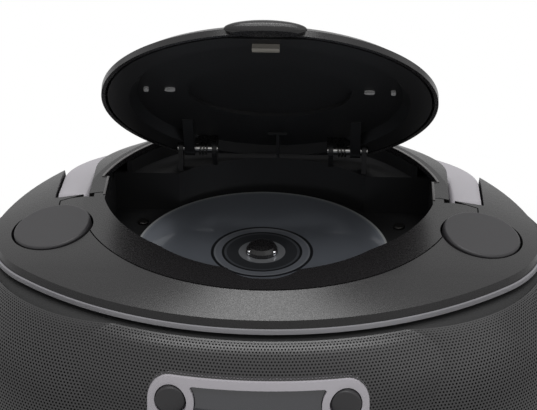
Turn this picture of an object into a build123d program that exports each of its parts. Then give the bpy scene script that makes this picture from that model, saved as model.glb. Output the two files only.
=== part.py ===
from build123d import *
import math
import os

os.makedirs("parts", exist_ok=True)

# A table-top CD boombox with a round hinged lid. All sizes are in millimetres.
# The origin is the middle of the footprint on the table; +Z is up and -Y is the front.

# Cabinet outline, seen from above at its widest level
body_width = 300.0
front_y = -117.0
front_radius = 188.5
side_radius = 74.0
bezel_proud = 1.0
rear_y = bezel_proud - front_y

# Cabinet side profile: two quarter ellipses that meet at the widest level
base_z = 3.0
widest_z = 65.0
roll_top_z = 116.0
roll_inset = 27.0
under_z = -5.0
under_inset = 20.0
wall = 2.5
fit_gap = 0.4
seam_gap = 0.6

# Top panel
deck_z = 128.0
crease_drop = 6.0
crease_inset = 25.0
skirt_inset = 24.2
crown_width = 172.0
crown_front_y = -77.0
crown_rear_y = 90.0
crown_front_radius = 91.0
crown_side_radius = 81.0

# Grey trim ring between the cabinet and the top panel
ring_height = 2.3
ring_inset = 23.2
ring_width = 4.0
ring_z = roll_top_z

# Disc, well and deck plate
disc_x = -3.0
disc_y = 5.0
disc_z = 100.0
disc_diameter = 120.0
disc_bore = 15.0
disc_thickness = 1.2
disc_room = 4.5
well_radius = disc_diameter / 2 + disc_room
well_floor_z = disc_z - 2.0
well_wall = 2.2
pocket_half_width = 76.5
tower_offset = 46.0
shelf_z = 118.0
recess_radius = 82.0
recess_step_y = disc_y + 22.0
recess_rear_y = disc_y + 69.0
seam_x_radius = 86.0
seam_y_radius = 81.0
hub_hole_radius = 17.0
notch_radius = 18.0
notch_set_in = 26.0
arm_half_width = 97.0
arm_inner_y = disc_y + 6.0
arm_outer_y = disc_y

# Round dials
dial_x = 98.0
dial_y = -20.0
dial_radius = 18.0
dial_tilt_out = 10.0
dial_tilt_front = 4.0
dial_height = 6.6
dial_proud = 0.8
dial_gap = 1.0
dial_cup_depth = 7.0
dial_shaft_radius = 3.0
encoder_width = 12.0
encoder_height = 8.0

# Carry handle, folded back round the rear shoulder
handle_y = 40.0
handle_outer_x = 99.5
handle_outer_y = 61.0
handle_inner_x = 85.0
handle_inner_y = 50.5
handle_pivot_y = 17.0
handle_pivot_z = 116.5
handle_eye_radius = 7.0
handle_rear_top = 111.5
handle_rear_bottom = 102.0
handle_round = 2.5
handle_gap = 0.9
trough_wall = 2.0
handle_pin_radius = 2.5
running_gap = 0.05

# Speaker grille and the loudspeakers behind it
grille_thickness = 1.2
grille_top_z = 114.4
grille_low_z = 10.0
grille_seat = 0.3
speaker_x = 0.697 * body_width / 2
speaker_z = 57.0
speaker_radius = 46.0
speaker_flange_width = 3.0
speaker_depth_in = 17.0
basket_depth = 24.0
magnet_radius = 22.0
magnet_height = 14.0
flange_thickness = 2.5
basket_wall = 1.5
cone_depth = 18.0
cone_radius = 40.0
cone_wall = 0.8
coil_radius = 13.0
dome_radius = 90.0
dome_proud = 6.0
dome_reach = 52.0

# Silver display bezel and what stands in it
bezel_width = 95.2
bezel_height = 44.0
bezel_top_z = 102.0
bezel_rim = 3.2
bezel_depth = 4.0
bezel_fit = 0.2
bezel_corner = 10.0
post_x = 33.0
post_radius = 1.5
button_gap = 0.4
button_travel = 1.5
button_proud = 0.8
round_button_x = 37.6
round_button_drop = 10.2
round_button_radius = 6.6
stem_radius = 1.8
stem_length = 2.0
window_half_width = 29.5
window_height = 24.0
window_thickness = 1.6
window_depth = 0.5
key_count = 4
key_width = 10.5
key_height = 6.0
key_pitch = 12.5
key_row_height = 8.0
board_y = -99.0
board_thickness = 1.6
board_half_width = 42.0
lcd_thickness = 4.0
switch_height = 2.5

# Rear of the cabinet
door_half_width = 76.0
door_low_z = 15.5
door_high_z = 45.5
bay_wall = 2.0
bay_front_y = 38.0
panel_half_width = 45.0
panel_low_z = 66.0
panel_high_z = 92.0
panel_face_y = 104.0
panel_plate = 2.0
panel_rim = 3.0
inlet_x = 20.0
inlet_width = 26.0
inlet_height = 16.0
inlet_depth = 15.0
inlet_slot_radius = 4.4
inlet_pin_spread = 4.3
inlet_pin_radius = 1.2
jack_x = -24.0
jack_bore = 1.8
jack_radius = 4.0
jack_depth = 14.0
contact_size = 12.0
contact_thickness = 0.6
cell_pitch_y = 26.0

# Feet and cabinet screws
foot_radius = 9.0
foot_front = (100.0, -50.0)
foot_rear = (84.0, 62.0)
screw_spots = [(112.0, -22.0), (112.0, 32.0)]
screw_radius = 1.7
screw_head_radius = 3.2
boss_radius = 4.5
boss_height = 12.0

# Disc drive
hub_flange_radius = 15.0
hub_flange_z = 97.3
hub_spigot_radius = 7.3
hub_cap_z = 106.0
hub_ball_radius = 1.5
hub_ball_orbit = 6.4
hub_ball_z = 102.4
shaft_radius = 1.0
motor_radius = 12.0
chassis_z = 80.0
chassis_thickness = 1.6
chassis_low_x = -53.0
chassis_high_x = 86.0
chassis_low_y = -21.0
chassis_high_y = 37.0
damper_radius = 3.5
damper_spots = [(-48.0, -12.0), (-48.0, 32.0), (47.0, -16.5), (68.0, 32.0)]
sled_rest = 25.0
sled_travel = 33.0
sled_half_length = 8.5
rod_spread = 14.0
rod_radius = 1.5
rod_z = 90.0
rod_low = 8.0
rod_high = 74.0
lens_radius = 3.5
turret_radius = 4.8
screw_z = 86.5
lead_radius = 1.6
well_screw_x = 62.0
well_screw_y = 37.0

# Lid, with a dished liner that carries the hinge arms, the pads and the latch
hinge_y = disc_y + 54.0
hinge_z = deck_z
lid_open = 48.25
lid_radius = 78.0
lid_reach = lid_radius - 22.0
lid_crown = 12.0
lid_shoulder = 6.6
shoulder_inset = 5.0
lid_edge = 3.4
lid_skin = 1.8
lid_lift = 0.4
lid_chord = 8.0
chord_gap = 0.4
liner_inset = 3.0
liner_thickness = 1.6
liner_dish = 4.0
liner_fold_inset = 13.0
liner_step_inset = 16.5
recess_depth = 1.8
recess_half_width = 38.0
recess_half_depth = 29.5
recess_shift = 5.0
pad_insets = (4.5, 15.5)
pad_shift = 7.5
pad_thickness = 1.2
tab_half_width = 18.0
tab_half_depth = 4.2
tab_half_height = 3.9
tab_z = 2.7
tab_gap = 1.0
tongue_width = 12.0
tongue_thickness = 1.4
tongue_depth = 3.0
hook_reach = 0.55
hook_height = 1.4
catch_width = 8.0
catch_top = 127.4
catch_nose = 0.8
eye_radius = 3.6
pin_radius = 1.5
ear_width = 2.3
ear_rim_gap = 2.4
rim_x = math.sqrt(lid_radius**2 - (lid_reach + eye_radius) ** 2)
ear_outer_x = rim_x - lid_skin - ear_rim_gap - ear_width - 0.4
ear_inner_x = ear_outer_x - 16.2
arm_width = 5.0
arm_x = ear_outer_x - 0.7 - arm_width / 2
arm_length = 26.0
blade_x = 2.8
blade_width = 1.4
blade_plate = 9.0
notch_y = hinge_y - lid_reach - lid_radius + notch_set_in

# Coiled springs round the hinge pins
spring_wire = 0.42
spring_radius = 2.9
spring_turns = 3
spring_pitch = 1.5
spring_bend = 0.9
spring_gap = 0.05


def body_inset(z, depth=0.0):
    """Inward distance from the widest outline at height z, for a skin at some depth."""
    rise = z - widest_z
    if rise > 0:
        height, inset = roll_top_z - widest_z - depth, roll_inset
    else:
        height, inset = widest_z - under_z - depth, under_inset
    return depth + inset * (1 - math.sqrt(1 - (rise / height) ** 2))


def floor_top(depth):
    """Height of the cabinet floor's upper face for a cavity at some depth."""
    return widest_z - (widest_z - under_z - depth) * (widest_z - base_z) / (widest_z - under_z)


def four_arcs(width, front, rear, radius_front, radius_side, inset):
    """Draw a closed outline of four tangent arcs, moved inwards by inset."""
    side_x = width / 2 - radius_side
    front_centre = front + radius_front
    side_y = front_centre - math.sqrt((radius_front - radius_side) ** 2 - side_x**2)
    reach = rear - side_y
    radius_rear = (side_x**2 + reach**2 - radius_side**2) / (2 * (reach - radius_side))
    rear_centre = rear - radius_rear
    front_angle = math.atan2(side_y - front_centre, side_x)
    rear_angle = math.atan2(side_y - rear_centre, side_x)
    radius = radius_side - inset
    ax = side_x + radius * math.cos(front_angle)
    ay = side_y + radius * math.sin(front_angle)
    bx = side_x + radius * math.cos(rear_angle)
    by = side_y + radius * math.sin(rear_angle)
    middle = (front_angle + rear_angle) / 2
    mx = side_x + radius * math.cos(middle)
    my = side_y + radius * math.sin(middle)
    ThreePointArc((-ax, ay), (0, front + inset), (ax, ay))
    ThreePointArc((ax, ay), (mx, my), (bx, by))
    ThreePointArc((bx, by), (0, rear - inset), (-bx, by))
    ThreePointArc((-bx, by), (-mx, my), (-ax, ay))


def body_outline(inset):
    """Draw the cabinet's plan outline, moved inwards by inset."""
    four_arcs(body_width, front_y, rear_y, front_radius, side_radius, inset)


def crown_outline(inset):
    """Draw the plan outline of the flat middle of the top panel."""
    four_arcs(
        crown_width, crown_front_y, crown_rear_y, crown_front_radius, crown_side_radius, inset
    )


def body_block(depth):
    """The cabinet's solid form at a given depth under its skin."""
    reach_up = roll_top_z - widest_z - depth
    reach_down = widest_z - under_z - depth
    lower = math.asin((widest_z - base_z) / (widest_z - under_z))
    upper = math.asin((roll_top_z - fit_gap - widest_z) / (roll_top_z - widest_z))
    levels = [widest_z - reach_down * math.sin(lower * step / 3) for step in (3, 2, 1)]
    levels += [widest_z + reach_up * math.sin(upper * step / 5) for step in range(6)]
    with BuildPart() as block:
        for level in levels:
            with BuildSketch(Plane.XY.offset(level)):
                with BuildLine():
                    body_outline(body_inset(level, depth))
                make_face()
        loft()
    return block.part


def outline_prism(inset, low, high):
    """A straight prism on the cabinet's plan outline."""
    with BuildPart() as prism:
        with BuildSketch(Plane.XY.offset(low)):
            with BuildLine():
                body_outline(inset)
            make_face()
        extrude(amount=high - low)
    return prism.part


def layer(low, high):
    """A wide flat block that holds everything between two heights."""
    with BuildPart() as block:
        with Locations((0, 0, low)):
            Box(
                2 * body_width,
                2 * body_width,
                high - low,
                align=(Align.CENTER, Align.CENTER, Align.MIN),
            )
    return block.part


def half_space(low_y, high_y):
    """A block that holds everything between two depths."""
    with BuildPart() as block:
        with Locations((0, low_y, 0)):
            Box(
                2 * body_width,
                high_y - low_y,
                2 * body_width,
                align=(Align.CENTER, Align.MIN, Align.CENTER),
            )
    return block.part


def well_lines(grow):
    """Draw the inside outline of the disc well's front and side pockets."""
    radius = well_radius + grow
    side = pocket_half_width + grow
    turn = math.radians(42.5)
    start = (radius * math.cos(turn), disc_y - radius * math.sin(turn))
    lean = math.radians(30)
    bow_x = well_radius + 1.7
    middle = (bow_x + grow * math.cos(lean), disc_y - 23.5 - grow * math.sin(lean))
    left_start = (-start[0], start[1])
    ThreePointArc(left_start, (0, disc_y - radius), start)
    ThreePointArc(start, middle, (side, disc_y))
    ThreePointArc((-side, disc_y), (-middle[0], middle[1]), left_start)


def well_outline(grow):
    """Draw the closed inside outline of the disc well."""
    well_lines(grow)
    radius = well_radius + grow
    side = pocket_half_width + grow
    face = tower_offset + grow
    tower_x = math.sqrt(radius**2 - face**2)
    Polyline((side, disc_y), (side, disc_y + face), (tower_x, disc_y + face))
    ThreePointArc((tower_x, disc_y + face), (0, disc_y + radius), (-tower_x, disc_y + face))
    Polyline((-tower_x, disc_y + face), (-side, disc_y + face), (-side, disc_y))


def recess_outline(grow):
    """Draw the closed outline of the opening under the lid."""
    well_lines(grow)
    radius = recess_radius + grow
    side = pocket_half_width + grow
    step = recess_step_y - disc_y
    rear = recess_rear_y - disc_y + grow
    step_x = math.sqrt(radius**2 - step**2)
    rear_x = math.sqrt(radius**2 - rear**2)
    turn = (math.atan2(step, step_x) + math.atan2(rear, rear_x)) / 2
    middle = (radius * math.cos(turn), disc_y + radius * math.sin(turn))
    Polyline((side, disc_y), (side, recess_step_y), (step_x, recess_step_y))
    ThreePointArc((step_x, recess_step_y), middle, (rear_x, disc_y + rear))
    Line((rear_x, disc_y + rear), (-rear_x, disc_y + rear))
    ThreePointArc((-rear_x, disc_y + rear), (-middle[0], middle[1]), (-step_x, recess_step_y))
    Polyline((-step_x, recess_step_y), (-side, recess_step_y), (-side, disc_y))


def recess_block(grow, low, high):
    """A straight block on the outline of the opening under the lid."""
    with BuildPart() as block:
        with BuildSketch(Plane.XY.offset(low)):
            with BuildLine():
                recess_outline(grow)
            make_face()
        extrude(amount=high - low)
    return block.part


def well_block(grow, low, high):
    """A straight block on the disc well's outline."""
    with BuildPart() as block:
        with BuildSketch(Plane.XY.offset(low)):
            with BuildLine():
                well_outline(grow)
            make_face()
        extrude(amount=high - low)
    return block.part


def crown_block(drop, top_shift):
    """The top panel's solid form: a skirt, then a shallow cone up to the flat middle."""
    with BuildPart() as block:
        low = ring_z + ring_height - top_shift
        crease = deck_z - crease_drop - drop
        for level, inset in ((low, skirt_inset + drop), (crease, crease_inset + drop)):
            with BuildSketch(Plane.XY.offset(level)):
                with BuildLine():
                    body_outline(inset)
                make_face()
        loft(ruled=True)
        with BuildSketch(Plane.XY.offset(crease)):
            with BuildLine():
                body_outline(crease_inset + drop)
            make_face()
        with BuildSketch(Plane.XY.offset(deck_z - drop)):
            with BuildLine():
                crown_outline(0)
            make_face()
        loft(ruled=True)
    return block.part


def handle_block(grow, open_top):
    """The handle's sloping U, grown by a clearance; open_top carries it on upwards."""
    eye = handle_eye_radius + grow
    top = 80.0 if open_top else 0.0
    end_y = handle_y + handle_outer_y + grow
    with BuildPart() as block:
        with BuildSketch(Plane.XY.offset(handle_rear_bottom - 20)):
            with Locations((0, handle_y)):
                Ellipse(handle_outer_x + grow, handle_outer_y + grow)
            with Locations((0, handle_y)):
                Rectangle(
                    2 * (handle_outer_x + grow), 3 * handle_y, align=(Align.CENTER, Align.MAX)
                )
            with Locations((0, handle_y)):
                Ellipse(handle_inner_x - grow, handle_inner_y - grow, mode=Mode.SUBTRACT)
            with Locations((0, handle_y)):
                Rectangle(
                    2 * (handle_inner_x - grow),
                    4 * handle_y,
                    align=(Align.CENTER, Align.MAX),
                    mode=Mode.SUBTRACT,
                )
        extrude(amount=140)
        with BuildSketch(Plane.YZ):
            with BuildLine():
                Polyline(
                    (handle_pivot_y, handle_pivot_z - eye),
                    (end_y, handle_rear_bottom - grow),
                    (end_y, handle_rear_top + grow + top),
                    (handle_pivot_y, handle_pivot_z + eye + top),
                    close=True,
                )
            make_face()
            with Locations((handle_pivot_y, handle_pivot_z)):
                Circle(eye)
            if open_top:
                with Locations((handle_pivot_y, handle_pivot_z)):
                    Rectangle(2 * eye, top, align=(Align.CENTER, Align.MIN))
        extrude(amount=body_width, both=True, mode=Mode.INTERSECT)
    return block.part


def dial_plane(side):
    """The plane of a dial's skin, tilted outwards and to the front."""
    out = math.radians(dial_tilt_out)
    front = math.radians(dial_tilt_front)
    normal = (side * math.sin(out), -math.sin(front), math.cos(out))
    slope_width = body_width / 2 - crease_inset - crown_width / 2
    height = deck_z - crease_drop * (dial_x - crown_width / 2) / slope_width
    return Plane(origin=(side * dial_x, dial_y, height), x_dir=(0, 1, 0), z_dir=normal)


def save(piece, name):
    """Label a finished piece and write it to its own file."""
    piece.part.label = name
    export_step(piece.part, f"parts/{name}.step")


def hull_form():
    """The whole closed body without the lid, used to trim what reaches its skin."""
    with BuildPart() as hull:
        add(skin_form)
        add(outline_prism(skirt_inset, roll_top_z - 1, ring_z + ring_height))
        add(crown_block(0, 0))
    return hull.part


def deck_block(grow):
    """A straight block on the outline of the front deck plate and its two arms."""
    tall = 40.0
    with BuildPart() as block:
        with BuildSketch(Plane.XY.offset(deck_z - tall / 2)):
            with Locations((0, disc_y)):
                Ellipse(seam_x_radius + grow, seam_y_radius + grow)
                Rectangle(
                    body_width, body_width, align=(Align.CENTER, Align.MAX), mode=Mode.INTERSECT
                )
            for side in (-1, 1):
                with BuildLine():
                    Polyline(
                        (side * well_radius, dial_y - 4),
                        (side * (arm_half_width + grow), dial_y - 4),
                        (side * (arm_half_width + grow), arm_outer_y + grow),
                        (side * (pocket_half_width + wall), arm_inner_y + grow),
                        (side * well_radius, arm_inner_y + grow),
                        close=True,
                    )
                make_face()
        extrude(amount=tall)
    return block.part


def dial_hole(radius, low, high):
    """Two round blocks on the dials' axes, between two heights above their skin."""
    with BuildPart() as block:
        for side in (-1, 1):
            with BuildSketch(dial_plane(side).offset(low)):
                Circle(radius)
            extrude(amount=high - low)
    return block.part


skin_form = body_block(0)
hull = hull_form()
crown_skin = crown_block(0, 0) - crown_block(wall, wall)
trough_form = handle_block(handle_gap + trough_wall, False) & hull
trough_void = handle_block(handle_gap, True)
trough_notch = handle_block(handle_gap + trough_wall + fit_gap, True)
rim_opening = outline_prism(ring_inset + ring_width + fit_gap, roll_top_z - 12, roll_top_z + 40)

# Top panel: crown and skirt, with the handle's trough and the dials' cups
with BuildPart() as top_cover:
    add(crown_skin)
    add(trough_form)
    add(dial_hole(dial_radius + dial_gap + trough_wall, -dial_cup_depth - wall, -wall - fit_gap))
    add(trough_void, mode=Mode.SUBTRACT)
    with BuildSketch(Plane.YZ.offset(-handle_outer_x - 10)):
        with Locations((handle_pivot_y, handle_pivot_z)):
            Circle(handle_pin_radius)
    extrude(amount=2 * handle_outer_x + 20, mode=Mode.SUBTRACT)
    with BuildSketch(dial_plane(-1).offset(-dial_cup_depth - 2 * wall)):
        Circle(dial_shaft_radius + 2 * running_gap)
    extrude(amount=dial_cup_depth, mode=Mode.SUBTRACT)
    with BuildSketch(dial_plane(1).offset(-dial_cup_depth - 2 * wall)):
        Circle(dial_shaft_radius + 2 * running_gap)
    extrude(amount=dial_cup_depth, mode=Mode.SUBTRACT)
    add(deck_block(seam_gap), mode=Mode.SUBTRACT)
    add(recess_block(0, disc_z, deck_z + 20), mode=Mode.SUBTRACT)
    add(dial_hole(dial_radius + dial_gap, -dial_cup_depth, dial_height), mode=Mode.SUBTRACT)
save(top_cover, "top_cover")

# Front deck plate: the crescent in front of the disc and its two arms
with BuildPart() as deck_plate:
    add(crown_skin)
    add(deck_block(0), mode=Mode.INTERSECT)
    add(recess_block(0, disc_z, deck_z + 20), mode=Mode.SUBTRACT)
    add(dial_hole(dial_radius + dial_gap, -dial_cup_depth, dial_height), mode=Mode.SUBTRACT)
    add(trough_notch, mode=Mode.SUBTRACT)
    with Locations((0, notch_y, deck_z)):
        Cylinder(notch_radius, 4 * wall, mode=Mode.SUBTRACT)
save(deck_plate, "deck_plate")

# Disc well: floor, round wall, side pockets, hinge towers and rim
well_top = deck_z - wall - 2 * fit_gap
with BuildPart() as cd_well:
    add(well_block(well_wall, well_floor_z - well_wall, shelf_z))
    add(recess_block(well_wall, shelf_z - well_wall, well_top))
    with Locations((0, notch_y, shelf_z - well_wall)):
        Cylinder(
            notch_radius + well_wall,
            well_top - shelf_z + well_wall,
            align=(Align.CENTER, Align.CENTER, Align.MIN),
        )
    add(recess_block(0, shelf_z, deck_z), mode=Mode.SUBTRACT)
    add(well_block(0, well_floor_z, deck_z), mode=Mode.SUBTRACT)
    with Locations((0, notch_y, shelf_z)):
        Cylinder(
            notch_radius,
            deck_z - shelf_z,
            align=(Align.CENTER, Align.CENTER, Align.MIN),
            mode=Mode.SUBTRACT,
        )
    with Locations((disc_x, disc_y, well_floor_z)):
        Cylinder(hub_hole_radius, 3 * well_wall, mode=Mode.SUBTRACT)
    window_mid = disc_x + sled_rest + sled_travel / 2
    with Locations((window_mid, disc_y, well_floor_z)):
        Box(
            sled_travel + 2 * turret_radius + 2,
            2 * turret_radius + 3,
            3 * well_wall,
            mode=Mode.SUBTRACT,
        )
    for side in (-1, 1):
        with Locations((side * well_screw_x, well_screw_y, well_floor_z)):
            Cylinder(4, 6 + well_wall, align=(Align.CENTER, Align.CENTER, Align.MAX))
            Cylinder(screw_radius - 0.3, 6 * well_wall, mode=Mode.SUBTRACT)
        for low_x, near_y, far_y in (
            (ear_inner_x, hinge_y + eye_radius, hinge_y + eye_radius + 4),
            (ear_outer_x, hinge_y - 5.5, hinge_y + eye_radius),
        ):
            with BuildSketch(Plane.YZ.offset(side * low_x)):
                with BuildLine():
                    Polyline(
                        (near_y, shelf_z - 1),
                        (hinge_y - eye_radius, hinge_z),
                        (hinge_y + eye_radius, hinge_z),
                        (far_y, shelf_z - 1),
                        close=True,
                    )
                make_face()
                with Locations((hinge_y, hinge_z)):
                    Circle(eye_radius)
            extrude(amount=side * ear_width)
        with BuildSketch(Plane.YZ.offset(side * (ear_inner_x - 1))):
            with Locations((hinge_y, hinge_z)):
                Circle(pin_radius)
        extrude(amount=side * 25, mode=Mode.SUBTRACT)
save(cd_well, "cd_well")

# Cabinet shells, divided between front and rear
front_depth = grille_thickness + grille_seat
front_form = body_block(front_depth)
rear_cavity = body_block(wall)
speaker_arc = front_radius - front_depth
speaker_bearing = math.asin(speaker_x / speaker_arc)
front_centre_y = front_y + front_radius


def speaker_plane(side, depth):
    """A plane square to a speaker's axis, at a depth behind the front wall's skin."""
    reach = speaker_arc - depth
    origin = (
        side * reach * math.sin(speaker_bearing),
        front_centre_y - reach * math.cos(speaker_bearing),
        speaker_z,
    )
    normal = (side * math.sin(speaker_bearing), -math.cos(speaker_bearing), 0)
    return Plane(origin=origin, x_dir=(0, 0, 1), z_dir=normal)


def bezel_outline(grow):
    """Draw the display bezel's outline: two round ends on a wide middle."""
    with Locations((0, 0)):
        RectangleRounded(bezel_width + 2 * grow, bezel_height + 2 * grow, bezel_corner + grow)


def bezel_prism(grow):
    """A block along Y on the bezel's outline, through the front wall."""
    centre_z = bezel_top_z - bezel_height / 2
    with BuildPart() as block:
        outside = Plane(origin=(0, front_y - 10, centre_z), x_dir=(1, 0, 0), z_dir=(0, -1, 0))
        with BuildSketch(outside):
            bezel_outline(grow)
        extrude(amount=-40)
    return block.part


base_plate = outline_prism(body_inset(base_z) + front_depth, base_z, base_z + wall)


def spots_in(row):
    """Screw places of the front shell, row 0, or of the rear shell, row 1."""
    x, y = screw_spots[row]
    return [(-x, y), (x, y)]


def floor_bosses(row):
    """Screw bosses that stand on a cabinet floor."""
    with BuildPart() as block:
        with BuildSketch(Plane.XY.offset(base_z)):
            with Locations(*spots_in(row)):
                Circle(boss_radius)
        extrude(amount=boss_height)
    return block.part


def floor_bores(row):
    """Bores and head pockets of the screws in a cabinet floor."""
    with BuildPart() as block:
        with BuildSketch(Plane.XY.offset(base_z)):
            with Locations(*spots_in(row)):
                Circle(screw_radius)
        extrude(amount=boss_height - 2)
        with BuildSketch(Plane.XY.offset(base_z)):
            with Locations(*spots_in(row)):
                Circle(screw_head_radius + 0.1)
        extrude(amount=1.8)
    return block.part


with BuildPart() as front_cabinet:
    add(front_form)
    add(base_plate)
    add(body_block(front_depth + wall), mode=Mode.SUBTRACT)
    for side in (-1, 1):
        with BuildSketch(speaker_plane(side, speaker_depth_in)):
            Circle(speaker_radius + speaker_flange_width)
            Circle(speaker_radius - 3, mode=Mode.SUBTRACT)
        extrude(amount=speaker_depth_in)
    add(front_form + base_plate, mode=Mode.INTERSECT)
    for side in (-1, 1):
        with BuildSketch(speaker_plane(side, speaker_depth_in)):
            Circle(speaker_radius - 3)
        extrude(amount=2 * speaker_depth_in, mode=Mode.SUBTRACT)
    add(bezel_prism(fit_gap), mode=Mode.SUBTRACT)
    add(rim_opening, mode=Mode.SUBTRACT)
    add(half_space(0, body_width), mode=Mode.SUBTRACT)
    add(floor_bosses(0), mode=Mode.ADD)
    add(floor_bores(0), mode=Mode.SUBTRACT)
save(front_cabinet, "front_cabinet")


def door_block(grow):
    """The battery door's outline as a block along Y."""
    with BuildPart() as block:
        with Locations((0, bay_front_y, (door_low_z + door_high_z) / 2)):
            Box(
                2 * (door_half_width + grow),
                body_width,
                door_high_z - door_low_z + 2 * grow,
                align=(Align.CENTER, Align.MIN, Align.CENTER),
            )
    return block.part


def panel_block(grow, low_y):
    """The rear socket panel's outline as a block along Y."""
    with BuildPart() as block:
        with Locations((0, low_y, (panel_low_z + panel_high_z) / 2)):
            Box(
                2 * (panel_half_width + grow),
                body_width,
                panel_high_z - panel_low_z + 2 * grow,
                align=(Align.CENTER, Align.MIN, Align.CENTER),
            )
    return block.part


with BuildPart() as rear_cabinet:
    add(skin_form)
    add(rear_cavity, mode=Mode.SUBTRACT)
    add(rim_opening, mode=Mode.SUBTRACT)
    add(trough_notch, mode=Mode.SUBTRACT)
    add(door_block(fit_gap), mode=Mode.SUBTRACT)
    add(panel_block(fit_gap, rear_y / 2), mode=Mode.SUBTRACT)
    add(half_space(-body_width, 0), mode=Mode.SUBTRACT)
    add(floor_bosses(1))
    add(floor_bores(1), mode=Mode.SUBTRACT)
save(rear_cabinet, "rear_cabinet")

# Battery door: the same skin as the rear wall, pulled straight off
with BuildPart() as battery_door:
    add(skin_form)
    add(rear_cavity, mode=Mode.SUBTRACT)
    add(door_block(0), mode=Mode.INTERSECT)
save(battery_door, "battery_door")

# Trim ring, open at the back where the handle lies
with BuildPart() as trim_ring:
    with BuildSketch(Plane.XY.offset(ring_z)):
        with BuildLine():
            body_outline(ring_inset)
        make_face()
        with BuildLine():
            body_outline(ring_inset + ring_width)
        make_face(mode=Mode.SUBTRACT)
    extrude(amount=ring_height - 0.1)
    add(trough_notch, mode=Mode.SUBTRACT)
save(trim_ring, "trim_ring")


def dome_balls(depth):
    """Two shallow caps that stand proud of the grille in front of the speakers."""
    with BuildPart() as block:
        for side in (-1, 1):
            plane = speaker_plane(side, dome_radius - dome_proud - front_depth)
            with Locations(plane):
                Sphere(dome_radius - depth)
    with BuildPart() as sleeves:
        for side in (-1, 1):
            with BuildSketch(speaker_plane(side, speaker_depth_in)):
                Circle(dome_reach - depth)
            extrude(amount=2 * speaker_depth_in)
    return block.part & sleeves.part


# Perforated grille round the front half, with a bulge over each speaker
with BuildPart() as speaker_grille:
    add(skin_form)
    add(dome_balls(0))
    add(layer(grille_low_z, grille_top_z), mode=Mode.INTERSECT)
    add(body_block(grille_thickness), mode=Mode.SUBTRACT)
    add(dome_balls(grille_thickness), mode=Mode.SUBTRACT)
    add(half_space(-seam_gap, body_width), mode=Mode.SUBTRACT)
    add(bezel_prism(bezel_fit), mode=Mode.SUBTRACT)
save(speaker_grille, "speaker_grille")

# Speakers: pressed frame, paper cone and magnet on each side
for side, word in ((-1, "left"), (1, "right")):
    seat = speaker_plane(side, speaker_depth_in)
    back = seat.offset(-flange_thickness - basket_depth)
    with BuildPart() as speaker_frame:
        with BuildSketch(seat.offset(-flange_thickness)):
            Circle(speaker_radius + speaker_flange_width)
            Circle(speaker_radius - 1, mode=Mode.SUBTRACT)
        extrude(amount=flange_thickness)
        for radius, mode in ((0, Mode.ADD), (basket_wall, Mode.SUBTRACT)):
            with Locations(back.offset(radius)):
                Cone(
                    magnet_radius + 2 - radius,
                    speaker_radius + 1 - radius,
                    basket_depth,
                    align=(Align.CENTER, Align.CENTER, Align.MIN),
                    mode=mode,
                )
        with BuildSketch(back.offset(-1)):
            Circle(magnet_radius / 2)
        extrude(amount=basket_depth, mode=Mode.SUBTRACT)
        with Locations(back.offset(basket_depth / 2)):
            with PolarLocations(magnet_radius + 8, 4):
                Box(2 * basket_wall + 14, 20, basket_depth / 2, mode=Mode.SUBTRACT)
    save(speaker_frame, f"{word}_speaker_frame")
    with BuildPart() as speaker_cone:
        with Locations(seat.offset(-flange_thickness - cone_depth)):
            Cone(
                coil_radius,
                cone_radius,
                cone_depth,
                align=(Align.CENTER, Align.CENTER, Align.MIN),
            )
        with Locations(seat.offset(cone_wall - flange_thickness - cone_depth)):
            Cone(
                coil_radius - cone_wall,
                cone_radius - cone_wall,
                cone_depth,
                align=(Align.CENTER, Align.CENTER, Align.MIN),
                mode=Mode.SUBTRACT,
            )
        with BuildSketch(seat.offset(-flange_thickness)):
            Circle(speaker_radius - 1)
            Circle(cone_radius - 2 * cone_wall, mode=Mode.SUBTRACT)
        extrude(amount=cone_wall)
        with BuildSketch(back.offset(0.3)):
            Circle(magnet_radius / 2 - 1)
        extrude(amount=basket_depth - cone_depth + cone_wall)
    save(speaker_cone, f"{word}_speaker_cone")
    with BuildPart() as speaker_magnet:
        with BuildSketch(back.offset(-magnet_height)):
            Circle(magnet_radius)
        extrude(amount=magnet_height)
        chamfer(speaker_magnet.edges().filter_by(GeomType.CIRCLE), 1)
    save(speaker_magnet, f"{word}_speaker_magnet")

# Display: silver bezel, window, panel, board and the switches on it
round_button_z = bezel_top_z - round_button_drop
window_high_z = bezel_top_z - bezel_rim
window_low_z = window_high_z - window_height
key_z = bezel_top_z - bezel_height + key_row_height / 2 + bezel_rim


def face_plane(y):
    """A plane square to Y, seen from the front."""
    return Plane(origin=(0, y, 0), x_dir=(1, 0, 0), z_dir=(0, -1, 0))


def window_outline(grow):
    """Draw the window's outline: a rectangle hollowed round the two round buttons."""
    hollow = round_button_radius + button_gap + bezel_rim
    with Locations((0, (window_low_z + window_high_z) / 2)):
        RectangleRounded(2 * (window_half_width + grow), window_height + 2 * grow, 1.5 + grow)
    with Locations((-round_button_x, round_button_z), (round_button_x, round_button_z)):
        Circle(hollow - grow, mode=Mode.SUBTRACT)


def key_places():
    """Middle points of the keys under the window."""
    first = -(key_count - 1) / 2
    return [((first + number) * key_pitch, key_z) for number in range(key_count)]


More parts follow.
